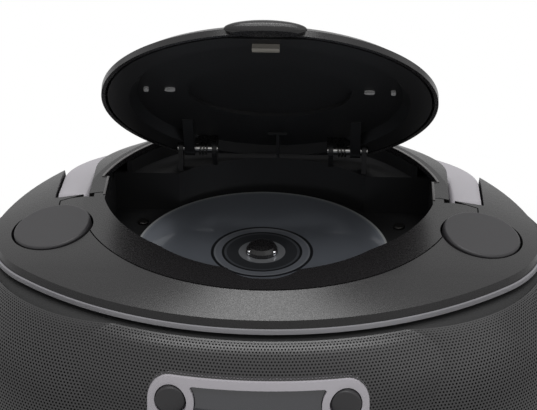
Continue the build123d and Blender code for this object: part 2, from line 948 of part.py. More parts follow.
with BuildPart() as display_bezel:
    add(body_block(-bezel_proud))
    add(body_block(bezel_depth), mode=Mode.SUBTRACT)
    add(bezel_prism(0), mode=Mode.INTERSECT)
    for side in (-1, 1):
        with BuildSketch(face_plane(board_y)):
            with Locations((side * post_x, window_low_z + 4)):
                Circle(post_radius)
            with Locations((side * (round_button_x + 2), key_z + 3)):
                Circle(post_radius)
        extrude(amount=-front_y + board_y - bezel_depth / 2 - 4)
    with BuildSketch(face_plane(board_y)):
        window_outline(0)
    extrude(amount=-front_y + board_y + 20, mode=Mode.SUBTRACT)
    with BuildSketch(face_plane(board_y)):
        for side in (-1, 1):
            with Locations((side * round_button_x, round_button_z)):
                Circle(round_button_radius + button_gap)
        with Locations(*key_places()):
            RectangleRounded(key_width + 2 * button_gap, key_height + 2 * button_gap, 1.5)
    extrude(amount=-front_y + board_y + 20, mode=Mode.SUBTRACT)
save(display_bezel, "display_bezel")

with BuildPart() as display_window:
    add(body_block(window_depth))
    add(body_block(window_depth + window_thickness), mode=Mode.SUBTRACT)
    with BuildSketch(face_plane(board_y)):
        window_outline(-0.3)
    extrude(amount=-front_y + board_y + 20, mode=Mode.INTERSECT)
save(display_window, "display_window")

board_low_z = key_z - 6
board_high_z = bezel_top_z - 6
with BuildPart() as display_board:
    with BuildSketch(face_plane(board_y + board_thickness)):
        with Locations((0, (board_low_z + board_high_z) / 2)):
            Rectangle(2 * board_half_width, board_high_z - board_low_z)
    extrude(amount=board_thickness)
save(display_board, "display_board")

with BuildPart() as lcd_panel:
    with BuildSketch(face_plane(board_y)):
        with Locations((0, (window_low_z + window_high_z) / 2)):
            Rectangle(2 * window_half_width - 18, window_height - 3)
    extrude(amount=lcd_thickness)
save(lcd_panel, "lcd_panel")

button_spots = [(-round_button_x, round_button_z), (round_button_x, round_button_z)]
with BuildPart() as tact_switches:
    with BuildSketch(face_plane(board_y)):
        with Locations(*(button_spots + key_places())):
            Rectangle(5, 5)
    extrude(amount=switch_height)
save(tact_switches, "tact_switches")


def skin_y(x, z):
    """Depth of the front skin at a place on the cabinet's face."""
    radius = front_radius - body_inset(z)
    return front_centre_y - math.sqrt(radius**2 - x**2)


stem_end_y = board_y - switch_height - button_travel - 0.3
for number, (x, z) in enumerate(button_spots):
    with BuildPart() as round_button:
        with BuildSketch(face_plane(stem_end_y - stem_length)):
            with Locations((x, z)):
                Circle(round_button_radius)
        extrude(amount=stem_end_y - stem_length - skin_y(x, z) + button_proud)
        fillet(round_button.edges().sort_by(Axis.Y)[0], 0.8)
        with BuildSketch(face_plane(stem_end_y)):
            with Locations((x, z)):
                Circle(stem_radius)
        extrude(amount=stem_length)
    save(round_button, ("left_round_button", "right_round_button")[number])

for number, (x, z) in enumerate(key_places()):
    with BuildPart() as key:
        with BuildSketch(face_plane(stem_end_y - stem_length)):
            with Locations((x, z)):
                RectangleRounded(key_width, key_height, 1.2)
        extrude(amount=stem_end_y - stem_length - skin_y(x, z) + button_proud)
        fillet(key.faces().sort_by(Axis.Y)[0].edges(), 0.6)
        with BuildSketch(face_plane(stem_end_y)):
            with Locations((x, z)):
                Circle(stem_radius)
        extrude(amount=stem_length)
    save(key, f"key_{number + 1}")

# Round dials and the encoders they turn
for side, word in ((-1, "left"), (1, "right")):
    skin = dial_plane(side)
    with BuildPart() as dial:
        with BuildSketch(skin.offset(dial_proud - dial_height)):
            Circle(dial_radius)
        extrude(amount=dial_height)
        fillet(dial.edges().filter_by(GeomType.CIRCLE).sort_by(Axis.Z)[-1], 1.2)
        with BuildSketch(skin.offset(-dial_cup_depth - wall - 4)):
            Circle(dial_shaft_radius)
        extrude(amount=dial_cup_depth + wall + 4 + dial_proud - dial_height + 1)
    save(dial, f"{word}_dial")
    with BuildPart() as encoder:
        with BuildSketch(skin.offset(-dial_cup_depth - wall - encoder_height)):
            Rectangle(encoder_width, encoder_width)
        extrude(amount=encoder_height - 0.05)
        with BuildSketch(skin.offset(-dial_cup_depth - wall - 4.5)):
            Circle(dial_shaft_radius + running_gap)
        extrude(amount=6, mode=Mode.SUBTRACT)
    save(encoder, f"{word}_encoder")


def long_edges(piece):
    """The handle's edges that follow its length, along its upper and lower faces."""
    bound = piece.bounding_box().max.Y - 1
    long = [edge for edge in piece.edges() if edge.length > handle_outer_y]
    return [edge for edge in long if edge.center().Y < bound]


# Carry handle and its two pins
with BuildPart() as handle:
    add(handle_block(0, False))
    fillet(long_edges(handle.part), handle_round)
    with BuildSketch(Plane.YZ.offset(-handle_outer_x - 10)):
        with Locations((handle_pivot_y, handle_pivot_z)):
            Circle(handle_pin_radius + running_gap)
    extrude(amount=2 * handle_outer_x + 20, mode=Mode.SUBTRACT)
save(handle, "handle")

with BuildPart() as handle_pins:
    for side in (-1, 1):
        inner = handle_inner_x - handle_gap - trough_wall
        with BuildSketch(Plane.YZ.offset(side * inner)):
            with Locations((handle_pivot_y, handle_pivot_z)):
                Circle(handle_pin_radius)
        extrude(amount=side * (handle_outer_x + handle_gap + trough_wall - inner))
save(handle_pins, "handle_pins")

# Lid pieces stand in the open lid's plane: x across, y to the hinge, z outwards
open_angle = math.radians(lid_open)
lid_normal = (0, math.sin(open_angle), math.cos(open_angle))
lid_plane = Plane(origin=(0, hinge_y, hinge_z), x_dir=(1, 0, 0), z_dir=lid_normal)
lid_centre = lid_plane.from_local_coords((0, -lid_reach, 0))
lid_section = Plane(origin=lid_centre, x_dir=(1, 0, 0), z_dir=-lid_plane.y_dir)
lid_axis = Axis(lid_centre, lid_plane.z_dir)
lid_side = Plane(origin=(0, hinge_y, hinge_z), x_dir=lid_plane.y_dir, z_dir=(1, 0, 0))


def dome_height(radius):
    """Height of the lid's domed skin at a distance from its middle."""
    rise = lid_crown - lid_shoulder
    sphere = ((lid_radius - shoulder_inset) ** 2 + rise**2) / (2 * rise)
    return lid_crown - sphere + math.sqrt(sphere**2 - radius**2)


def lid_slab(inset_y):
    """A slab that covers the lid's side of its straight rear edge."""
    with BuildPart() as slab:
        with BuildSketch(lid_plane.offset(-2 * lid_crown)):
            with Locations((0, lid_chord - inset_y)):
                Rectangle(body_width, body_width, align=(Align.CENTER, Align.MAX))
        extrude(amount=4 * lid_crown)
    return slab.part


lid_front = -lid_reach - lid_radius
with BuildPart() as lid_shell:
    with BuildSketch(lid_section):
        with BuildLine():
            crown = (0, lid_crown)
            outer = lid_radius - shoulder_inset
            inner = outer - 1
            ThreePointArc(crown, (outer / 2, dome_height(outer / 2)), (outer, lid_shoulder))
            Polyline(
                (outer, lid_shoulder),
                (lid_radius, lid_edge),
                (lid_radius, lid_lift),
                (lid_radius - lid_skin, lid_lift),
                (lid_radius - lid_skin, lid_edge - 0.6),
                (inner, dome_height(inner) - lid_skin),
            )
            ThreePointArc(
                (inner, dome_height(inner) - lid_skin),
                (inner / 2, dome_height(inner / 2) - lid_skin),
                (0, lid_crown - lid_skin),
            )
            Line((0, lid_crown - lid_skin), crown)
        make_face()
    revolve(axis=lid_axis)
    add(lid_slab(0), mode=Mode.INTERSECT)
    with BuildPart(mode=Mode.PRIVATE) as tab:
        Sphere(1)
        scale(by=(tab_half_width, tab_half_depth, tab_half_height))
    with BuildPart(mode=Mode.PRIVATE) as tab_room:
        with Locations((0, 0, lid_lift)):
            Box(
                4 * tab_half_width,
                4 * tab_half_depth,
                4 * tab_half_height,
                align=(Align.CENTER, Align.CENTER, Align.MIN),
            )
    tab_place = lid_plane.location * Location((0, lid_front, 0))
    add(tab_place * (Location((0, 0, tab_z)) * tab.part & tab_room.part))
save(lid_shell, "lid_shell")

with BuildPart() as lid_liner:
    with BuildSketch(lid_section):
        with BuildLine():
            rim = lid_radius - liner_inset
            fold = lid_radius - liner_fold_inset
            step = lid_radius - liner_step_inset
            low = lid_lift
            high = lid_lift + liner_dish
            Polyline(
                (0, high),
                (step, high),
                (fold, low),
                (rim, low),
                (rim, low + liner_thickness),
                (fold + 0.7, low + liner_thickness),
                (step + 0.7, high + liner_thickness),
                (0, high + liner_thickness),
                close=True,
            )
        make_face()
    revolve(axis=lid_axis)
    for depth, mode in ((recess_depth + liner_thickness, Mode.ADD), (recess_depth, Mode.SUBTRACT)):
        with BuildSketch(lid_plane.offset(lid_lift + liner_dish)):
            with Locations((0, -lid_reach - recess_shift)):
                Ellipse(
                    recess_half_width + depth - recess_depth,
                    recess_half_depth + depth - recess_depth,
                )
        extrude(amount=depth, mode=mode)
    add(lid_slab(chord_gap), mode=Mode.INTERSECT)
    with BuildSketch(lid_plane.offset(-lid_crown)):
        for side in (-1, 1):
            with Locations((side * (ear_inner_x + ear_outer_x + ear_width) / 2, 1)):
                Rectangle(ear_outer_x + ear_width - ear_inner_x + 1.5, 13.5)
        with Locations((0, lid_front)):
            Rectangle(2 * (tab_half_width + tab_gap), 2 * (tab_half_depth + tab_gap))
    extrude(amount=3 * lid_crown, mode=Mode.SUBTRACT)
    for side in (-1, 1):
        with BuildSketch(lid_side.offset(side * arm_x - arm_width / 2)):
            with BuildLine():
                Polyline(
                    (0, eye_radius),
                    (-arm_length, lid_lift + liner_dish + 1),
                    (-arm_length, lid_lift + liner_dish - 0.5),
                    (-3, -eye_radius + 1),
                    (0, -eye_radius),
                    close=True,
                )
            make_face()
            Circle(eye_radius)
            Circle(pin_radius + running_gap, mode=Mode.SUBTRACT)
        extrude(amount=arm_width)
    with BuildSketch(lid_side.offset(blade_x - blade_width / 2)):
        with BuildLine():
            Polyline(
                (-17.5, 1.7),
                (-17.5, 0.7),
                (-5, -4.8),
                (-1, -4.8),
                (2, lid_lift + liner_dish + 0.5),
                (-8, lid_lift + liner_dish + 0.5),
                close=True,
            )
        make_face()
    extrude(amount=blade_width)
    with BuildSketch(lid_side.offset(blade_x - blade_plate / 2)):
        with Locations((-17, 1.2)):
            Rectangle(1.6, 1)
    extrude(amount=blade_plate)
save(lid_liner, "lid_liner")

with BuildPart() as lid_pads:
    with BuildSketch(lid_plane.offset(lid_lift + liner_dish)):
        for side in (-1, 1):
            far_x, near_x = (lid_radius - liner_step_inset - inset for inset in pad_insets)
            with Locations((side * near_x, -lid_reach - pad_shift)):
                Ellipse(2.4, 1.4)
            with Locations((side * far_x, -lid_reach - pad_shift)):
                RectangleRounded(2.2, 3.4, 0.8)
    extrude(amount=-pad_thickness)
save(lid_pads, "lid_pads")

# The tongue's hook springs under the nose of the catch
notch_front = notch_y - notch_radius
tongue_y = notch_front + 2.4 - hinge_y
with BuildPart() as latch_tongue:
    with BuildSketch(lid_side.offset(-tongue_width / 2)):
        with BuildLine():
            Polyline(
                (tongue_y, lid_lift),
                (tongue_y, -tongue_depth + hook_height),
                (tongue_y - hook_reach, -tongue_depth + hook_height - 0.4),
                (tongue_y, -tongue_depth),
                (tongue_y + tongue_thickness, -tongue_depth),
                (tongue_y + tongue_thickness, lid_lift),
                close=True,
            )
        make_face()
    extrude(amount=tongue_width)
save(latch_tongue, "latch_tongue")

with BuildPart() as latch_catch:
    with BuildSketch(Plane.YZ.offset(-catch_width / 2)):
        with BuildLine():
            Polyline(
                (notch_front + 0.65, shelf_z),
                (notch_front + 1.65, shelf_z),
                (notch_front + 1.65, catch_top - catch_nose - 0.4),
                (notch_front + 2.15, catch_top - catch_nose),
                (notch_front + 2.15, catch_top - 0.4),
                (notch_front + 1.65, catch_top),
                (notch_front + 0.65, catch_top),
                close=True,
            )
        make_face()
    extrude(amount=catch_width)
save(latch_catch, "latch_catch")

with BuildPart() as hinge_pins:
    for side in (-1, 1):
        with BuildSketch(Plane.YZ.offset(side * (ear_inner_x - 0.5))):
            with Locations((hinge_y, hinge_z)):
                Circle(pin_radius)
        extrude(amount=side * (ear_outer_x + ear_width + 1 - ear_inner_x))
save(hinge_pins, "hinge_pins")



def coil_point(side, start_x, turn):
    """Place and heading of the spring's wire after a number of turns."""
    angle = 2 * math.pi * turn
    place = Vector(
        side * (start_x + spring_pitch * turn),
        hinge_y + spring_radius * math.cos(angle),
        hinge_z + spring_radius * math.sin(angle),
    )
    heading = Vector(
        side * spring_pitch,
        -2 * math.pi * spring_radius * math.sin(angle),
        2 * math.pi * spring_radius * math.cos(angle),
    )
    return place, heading.normalized()


def draw_biarc(start, heading, end, end_heading):
    """Draw two arcs that join two places, each tangent to the heading there."""
    chord = end - start
    both = heading + end_heading
    square = both.dot(both) - 4
    slope = chord.dot(both)
    reach = (slope - math.sqrt(slope**2 - square * chord.dot(chord))) / square
    first = start + heading * reach
    second = end - end_heading * reach
    middle = (first + second) / 2
    TangentArc(start, middle, tangent=heading)
    TangentArc(middle, end, tangent=second - first)


def least_gap(line):
    """Least gap between the turns of a wire, measured on points along its middle."""
    steps = 60 * spring_turns
    points = [line @ (number / steps) for number in range(steps + 1)]
    apart = math.ceil(math.pi * spring_radius / (line.length / steps))
    gaps = [
        (points[low] - points[high]).length
        for low in range(steps + 1)
        for high in range(low + apart, steps + 1)
    ]
    return min(gaps) - 2 * spring_wire


spring_low = ear_inner_x + ear_width
spring_high = arm_x - arm_width / 2 - spring_gap
wire_lean = math.atan2(spring_pitch, 2 * math.pi * spring_radius)
bend_reach = spring_bend * math.tan((math.pi / 2 - wire_lean) / 2)
bend_length = bend_reach * (1 + math.sin(wire_lean))
straight = (spring_high - spring_low - spring_turns * spring_pitch) / 2 - bend_length
with BuildPart() as lid_springs:
    for side in (-1, 1):
        along = Vector(side, 0, 0)
        coil_x = spring_low + straight + bend_length
        first, first_heading = coil_point(side, coil_x, 0)
        last, last_heading = coil_point(side, coil_x, spring_turns)
        bend_start = first - (along + first_heading) * bend_reach
        bend_end = last + (along + last_heading) * bend_reach
        with BuildLine() as coil:
            Line(bend_start - along * straight, bend_start)
            TangentArc(bend_start, first, tangent=along)
            for quarter in range(4 * spring_turns):
                draw_biarc(
                    *coil_point(side, coil_x, quarter / 4),
                    *coil_point(side, coil_x, (quarter + 1) / 4),
                )
            TangentArc(last, bend_end, tangent=last_heading)
            Line(bend_end, bend_end + along * straight)
        path = coil.wire()
        with BuildSketch(Plane(origin=path @ 0, z_dir=path % 0)):
            Circle(spring_wire)
        sweep(path=path)
    print(f"lid springs: least gap between turns {least_gap(path):.2f} mm")
save(lid_springs, "lid_springs")


# Disc, hub and motor
def round_axis(x, y):
    """The vertical axis through a place."""
    return Axis((x, y, 0), (0, 0, 1))


drive_section = Plane(origin=(disc_x, disc_y, 0), x_dir=(1, 0, 0), z_dir=(0, -1, 0))

with BuildPart() as compact_disc:
    with BuildSketch(Plane.XY.offset(disc_z)):
        with Locations((disc_x, disc_y)):
            Circle(disc_diameter / 2)
            Circle(disc_bore / 2, mode=Mode.SUBTRACT)
    extrude(amount=disc_thickness)
save(compact_disc, "compact_disc")

ball_places = [
    (
        disc_x + hub_ball_orbit * math.cos(math.radians(90 + 120 * number)),
        disc_y + hub_ball_orbit * math.sin(math.radians(90 + 120 * number)),
        hub_ball_z,
    )
    for number in range(3)
]
with BuildPart() as turntable_hub:
    with BuildSketch(drive_section):
        with BuildLine():
            Polyline(
                (0, hub_flange_z - 12),
                (shaft_radius, hub_flange_z - 12),
                (shaft_radius, hub_flange_z),
                (hub_flange_radius, hub_flange_z),
                (hub_flange_radius, disc_z),
                (hub_spigot_radius, disc_z),
                (hub_spigot_radius, hub_cap_z - 3),
                (hub_spigot_radius - 1.2, hub_cap_z - 1.2),
                (hub_spigot_radius - 3.5, hub_cap_z - 0.2),
                (0, hub_cap_z),
                close=True,
            )
        make_face()
    revolve(axis=round_axis(disc_x, disc_y))
    with Locations(*ball_places):
        Sphere(hub_ball_radius + 0.02, mode=Mode.SUBTRACT)
save(turntable_hub, "turntable_hub")

with BuildPart() as hub_balls:
    with Locations(*ball_places):
        Sphere(hub_ball_radius)
save(hub_balls, "hub_balls")

chassis_top = chassis_z + chassis_thickness
with BuildPart() as spindle_motor:
    with BuildSketch(Plane.XY.offset(chassis_top)):
        with Locations((disc_x, disc_y)):
            Circle(motor_radius)
            Circle(shaft_radius + running_gap, mode=Mode.SUBTRACT)
    extrude(amount=hub_flange_z - 1 - chassis_top)
save(spindle_motor, "spindle_motor")

# Chassis plate with the holders of the guide rods and the lead screw
screw_y = disc_y
with BuildPart() as deck_chassis:
    middle = ((chassis_low_x + chassis_high_x) / 2, (chassis_low_y + chassis_high_y) / 2)
    with BuildSketch(Plane.XY.offset(chassis_z)):
        with Locations(middle):
            RectangleRounded(chassis_high_x - chassis_low_x, chassis_high_y - chassis_low_y, 4)
    extrude(amount=chassis_thickness)
    for near in (rod_low, rod_high):
        for side in (-1, 1):
            with Locations((disc_x + near, disc_y + side * rod_spread, chassis_top)):
                Box(4, 6, rod_z + 3 - chassis_top, align=(Align.CENTER, Align.CENTER, Align.MIN))
    with Locations((disc_x + rod_high, screw_y, chassis_top)):
        Box(2, 8, screw_z + 4 - chassis_top, align=(Align.CENTER, Align.CENTER, Align.MIN))
    with BuildSketch(Plane.YZ.offset(disc_x)):
        with Locations((disc_y - rod_spread, rod_z), (disc_y + rod_spread, rod_z)):
            Circle(rod_radius)
        with Locations((screw_y, screw_z)):
            Circle(lead_radius + running_gap)
    extrude(amount=rod_high + 10, mode=Mode.SUBTRACT)
save(deck_chassis, "deck_chassis")

with BuildPart() as deck_dampers:
    with BuildSketch(Plane.XY.offset(chassis_top)):
        with Locations(*damper_spots):
            Circle(damper_radius)
    extrude(amount=well_floor_z - well_wall - chassis_top)
save(deck_dampers, "deck_dampers")

with BuildPart() as guide_rods:
    with BuildSketch(Plane.YZ.offset(disc_x + rod_low - 2)):
        with Locations((disc_y - rod_spread, rod_z), (disc_y + rod_spread, rod_z)):
            Circle(rod_radius)
    extrude(amount=rod_high - rod_low + 4)
save(guide_rods, "guide_rods")

sled_x = disc_x + sled_rest
sled_top = well_floor_z - well_wall - 0.6
with BuildPart() as laser_sled:
    with Locations((sled_x, disc_y, sled_top)):
        Box(
            2 * sled_half_length,
            2 * rod_spread + 6,
            12,
            align=(Align.CENTER, Align.CENTER, Align.MAX),
        )
    with BuildSketch(Plane.XY.offset(sled_top)):
        with Locations((sled_x, disc_y)):
            Circle(turret_radius)
    extrude(amount=2.4)
    with Locations((sled_x, disc_y, sled_top + 2.4)):
        Cylinder(lens_radius + 0.02, 3, mode=Mode.SUBTRACT)
    with BuildSketch(Plane.YZ.offset(sled_x - 2 * sled_half_length)):
        with Locations((disc_y - rod_spread, rod_z), (disc_y + rod_spread, rod_z)):
            Circle(rod_radius + running_gap)
        with Locations((screw_y, screw_z)):
            Circle(lead_radius + 0.3)
    extrude(amount=4 * sled_half_length, mode=Mode.SUBTRACT)
save(laser_sled, "laser_sled")

with BuildPart() as objective_lens:
    with Locations((sled_x, disc_y, sled_top + 0.9)):
        Cylinder(lens_radius, 1.5, align=(Align.CENTER, Align.CENTER, Align.MIN))
    fillet(objective_lens.edges().sort_by(Axis.Z)[-1], 0.6)
save(objective_lens, "objective_lens")

with BuildPart() as lead_screw:
    with BuildSketch(Plane.YZ.offset(disc_x + motor_radius + 1)):
        with Locations((screw_y, screw_z)):
            Circle(lead_radius)
    extrude(amount=rod_high - motor_radius + 2)
save(lead_screw, "lead_screw")

with BuildPart() as sled_motor:
    with BuildSketch(Plane.YZ.offset(disc_x + rod_high + 1)):
        with Locations((screw_y, screw_z)):
            Circle(screw_z - chassis_top)
            Circle(lead_radius + running_gap, mode=Mode.SUBTRACT)
    extrude(amount=11)
save(sled_motor, "sled_motor")

with BuildPart() as well_screws:
    for side in (-1, 1):
        with Locations((side * well_screw_x, well_screw_y, well_floor_z)):
            Cylinder(2.8, 1.2, align=(Align.CENTER, Align.CENTER, Align.MIN))
            Cylinder(screw_radius - 0.3, 6.5, align=(Align.CENTER, Align.CENTER, Align.MAX))
    fillet(well_screws.edges().filter_by(GeomType.CIRCLE).group_by(Axis.Z)[-1], 0.6)
save(well_screws, "well_screws")

# Battery bay, contacts and main board
bay_half = door_half_width - 1
bay_low = door_low_z + 1
bay_high = door_high_z - 1
rear_floor_z = floor_top(wall)
board_z = bay_high + bay_wall + 6
bay_trim = body_block(wall + 0.3)
with BuildPart() as battery_bay:
    with Locations((0, bay_front_y - bay_wall, bay_low - bay_wall)):
        Box(
            2 * (bay_half + bay_wall),
            body_width,
            bay_high - bay_low + 2 * bay_wall,
            align=(Align.CENTER, Align.MIN, Align.MIN),
        )
    with BuildSketch(Plane.XY.offset(rear_floor_z)):
        for side in (-1, 1):
            with Locations((side * bay_half * 0.8, bay_front_y + 25)):
                Rectangle(bay_wall, 40)
    extrude(amount=bay_low - bay_wall - rear_floor_z)
    with BuildSketch(Plane.XY.offset(bay_high + bay_wall)):
        with Locations(*[(x, y) for x in (-60, 60) for y in (bay_front_y + 6, bay_front_y + 46)]):
            Circle(3)
    extrude(amount=board_z - bay_high - bay_wall)
    add(bay_trim, mode=Mode.INTERSECT)
    with Locations((0, bay_front_y, bay_low)):
        Box(
            2 * bay_half,
            body_width,
            bay_high - bay_low,
            align=(Align.CENTER, Align.MIN, Align.MIN),
            mode=Mode.SUBTRACT,
        )
save(battery_bay, "battery_bay")

with BuildPart() as battery_contacts:
    for side in (-1, 1):
        for row in range(2):
            contact_y = bay_front_y + cell_pitch_y * (row + 0.5)
            with Locations((side * bay_half, contact_y, (bay_low + bay_high) / 2)):
                Box(
                    2 * contact_thickness,
                    contact_size,
                    contact_size,
                    align=(Align.CENTER, Align.CENTER, Align.CENTER),
                )
    with BuildPart(mode=Mode.PRIVATE) as inside:
        Box(2 * bay_half, 4 * body_width, 4 * body_width)
    add(inside.part, mode=Mode.INTERSECT)
save(battery_contacts, "battery_contacts")

with BuildPart() as main_board:
    with Locations((0, bay_front_y + 26, board_z)):
        Box(136, 52, board_thickness, align=(Align.CENTER, Align.CENTER, Align.MIN))
    with BuildSketch(Plane.XY.offset(board_z + board_thickness)):
        with Locations((-44, bay_front_y + 18), (-44, bay_front_y + 34)):
            Circle(5)
        with Locations((-10, bay_front_y + 24)):
            Rectangle(18, 18)
    extrude(amount=9)
    with BuildSketch(Plane.XY.offset(board_z + board_thickness)):
        with Locations((40, bay_front_y + 20)):
            Rectangle(36, 4)
    extrude(amount=14)
save(main_board, "main_board")

transformer_y = -48.0
front_floor_z = floor_top(front_depth + wall)
with BuildPart() as transformer_core:
    with Locations((0, transformer_y, front_floor_z)):
        Box(42, 36, 34, align=(Align.CENTER, Align.CENTER, Align.MIN))
    with Locations((0, transformer_y, front_floor_z + 7)):
        Box(28, 60, 20, align=(Align.CENTER, Align.CENTER, Align.MIN), mode=Mode.SUBTRACT)
    with Locations((0, transformer_y, front_floor_z + 6)):
        Box(10, 36, 22, align=(Align.CENTER, Align.CENTER, Align.MIN))
save(transformer_core, "transformer_core")

with BuildPart() as transformer_winding:
    with Locations((0, transformer_y, front_floor_z + 7.3)):
        Box(27.4, 44, 19.4, align=(Align.CENTER, Align.CENTER, Align.MIN))
    with Locations((0, transformer_y, front_floor_z)):
        Box(10.4, 37, 60, align=(Align.CENTER, Align.CENTER, Align.MIN), mode=Mode.SUBTRACT)
save(transformer_winding, "transformer_winding")

# Rear sockets
panel_mid_z = (panel_low_z + panel_high_z) / 2
rear_face = Plane(origin=(0, panel_face_y, panel_mid_z), x_dir=(-1, 0, 0), z_dir=(0, 1, 0))


def figure_eight():
    """Draw the two-pin socket's slot."""
    for side in (-1, 1):
        with Locations((-inlet_x + side * inlet_pin_spread, 0)):
            Circle(inlet_slot_radius)
    with Locations((-inlet_x, 0)):
        Rectangle(2 * inlet_pin_spread, 2 * inlet_slot_radius - 1.6)


with BuildPart() as socket_panel:
    add(panel_block(0, panel_face_y - panel_plate))
    add(skin_form, mode=Mode.INTERSECT)
    with BuildSketch(rear_face):
        Rectangle(2 * (panel_half_width - panel_rim), panel_high_z - panel_low_z - 2 * panel_rim)
    extrude(amount=30, mode=Mode.SUBTRACT)
    with BuildSketch(rear_face.offset(-panel_plate - 1)):
        with Locations((-inlet_x, 0)):
            Rectangle(inlet_width + 0.4, inlet_height + 0.4)
        with Locations((-jack_x, 0)):
            Circle(jack_radius + 0.2)
    extrude(amount=panel_plate + 2, mode=Mode.SUBTRACT)
save(socket_panel, "socket_panel")

with BuildPart() as ac_inlet:
    with BuildSketch(rear_face.offset(1 - inlet_depth)):
        with Locations((-inlet_x, 0)):
            RectangleRounded(inlet_width, inlet_height, 2)
    extrude(amount=inlet_depth)
    with BuildSketch(rear_face.offset(3 - inlet_depth)):
        figure_eight()
    extrude(amount=inlet_depth, mode=Mode.SUBTRACT)
    with BuildSketch(rear_face.offset(2 - inlet_depth)):
        for side in (-1, 1):
            with Locations((-inlet_x + side * inlet_pin_spread, 0)):
                Circle(inlet_pin_radius)
    extrude(amount=inlet_depth - 3)
save(ac_inlet, "ac_inlet")

with BuildPart() as audio_jack:
    with BuildSketch(rear_face.offset(1 - jack_depth)):
        with Locations((-jack_x, 0)):
            Circle(jack_radius)
    extrude(amount=jack_depth)
    with BuildSketch(rear_face.offset(-1 - jack_depth)):
        with Locations((-jack_x, 0)):
            Rectangle(11, 11)
    extrude(amount=jack_depth - panel_plate)
    with BuildSketch(rear_face.offset(2 - jack_depth)):
        with Locations((-jack_x, 0)):
            Circle(jack_bore)
    extrude(amount=jack_depth, mode=Mode.SUBTRACT)
save(audio_jack, "audio_jack")

# Feet and cabinet screws
with BuildPart() as feet:
    with BuildSketch(Plane.XY):
        with Locations(*[(side * x, y) for side in (-1, 1) for x, y in (foot_front, foot_rear)]):
            Circle(foot_radius)
    extrude(amount=base_z)
    chamfer(feet.edges().filter_by(GeomType.CIRCLE).group_by(Axis.Z)[0], 0.8)
save(feet, "feet")

with BuildPart() as cabinet_screws:
    for row in (0, 1):
        with BuildSketch(Plane.XY.offset(base_z + 0.2)):
            with Locations(*spots_in(row)):
                Circle(screw_head_radius)
        extrude(amount=1.6)
        with BuildSketch(Plane.XY.offset(base_z + 0.2)):
            with Locations(*spots_in(row)):
                Circle(screw_radius)
        extrude(amount=boss_height - 2.4)
save(cabinet_screws, "cabinet_screws")
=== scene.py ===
"""Looks of a table-top disc player with an open round lid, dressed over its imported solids."""

import logging
import math
from dataclasses import dataclass, field
from enum import Enum

import bmesh
import bpy
import numpy as np
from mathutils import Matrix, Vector


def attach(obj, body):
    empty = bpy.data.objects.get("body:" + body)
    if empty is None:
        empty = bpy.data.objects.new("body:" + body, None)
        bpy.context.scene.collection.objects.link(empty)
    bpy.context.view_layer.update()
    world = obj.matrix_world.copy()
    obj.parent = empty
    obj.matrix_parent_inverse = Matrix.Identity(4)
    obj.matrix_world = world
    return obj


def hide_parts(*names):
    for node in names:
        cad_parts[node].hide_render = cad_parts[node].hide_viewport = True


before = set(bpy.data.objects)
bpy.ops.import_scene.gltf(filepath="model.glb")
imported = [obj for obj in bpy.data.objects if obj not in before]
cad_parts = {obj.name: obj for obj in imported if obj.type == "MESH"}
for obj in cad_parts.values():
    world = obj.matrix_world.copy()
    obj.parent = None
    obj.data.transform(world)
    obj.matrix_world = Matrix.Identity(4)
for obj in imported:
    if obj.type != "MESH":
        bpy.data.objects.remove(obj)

MM = 0.001
LOG = logging.getLogger("boombox")
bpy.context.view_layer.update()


class Side(Enum):
    """Which side of the player a piece is on, as a sign of X."""

    LEFT = -1
    RIGHT = 1


class Kind(Enum):
    """How a finish scatters light before any pattern is laid on it."""

    PLASTIC = "plastic"
    METAL = "metal"
    GLASS = "glass"


def linear(hex_colour: str) -> tuple[float, float, float, float]:
    """Turn an sRGB hex value into a linear colour.

    Args:
        hex_colour: Six hex digits with a leading hash.

    Returns:
        Red, green, blue and an alpha of one.
    """
    values = [int(hex_colour[start : start + 2], 16) / 255 for start in (1, 3, 5)]
    red, green, blue = [
        value / 12.92 if value <= 0.04045 else ((value + 0.055) / 1.055) ** 2.4 for value in values
    ]
    return (red, green, blue, 1.0)


def add_node(
    tree: bpy.types.NodeTree, kind: str, inputs: dict | None = None, **settings
) -> bpy.types.Node:
    """Add a shader node with its settings, values and links.

    Args:
        tree: The material's or the world's node tree.
        kind: The node's type name without the ShaderNode prefix.
        inputs: Input names or numbers with a value or an output socket to link.
        **settings: Properties of the node itself.

    Returns:
        The new node.
    """
    node = tree.nodes.new(f"ShaderNode{kind}")
    for name, value in settings.items():
        setattr(node, name, value)
    for name, value in (inputs or {}).items():
        if isinstance(value, bpy.types.NodeSocket):
            tree.links.new(value, node.inputs[name])
        else:
            node.inputs[name].default_value = value
    return node


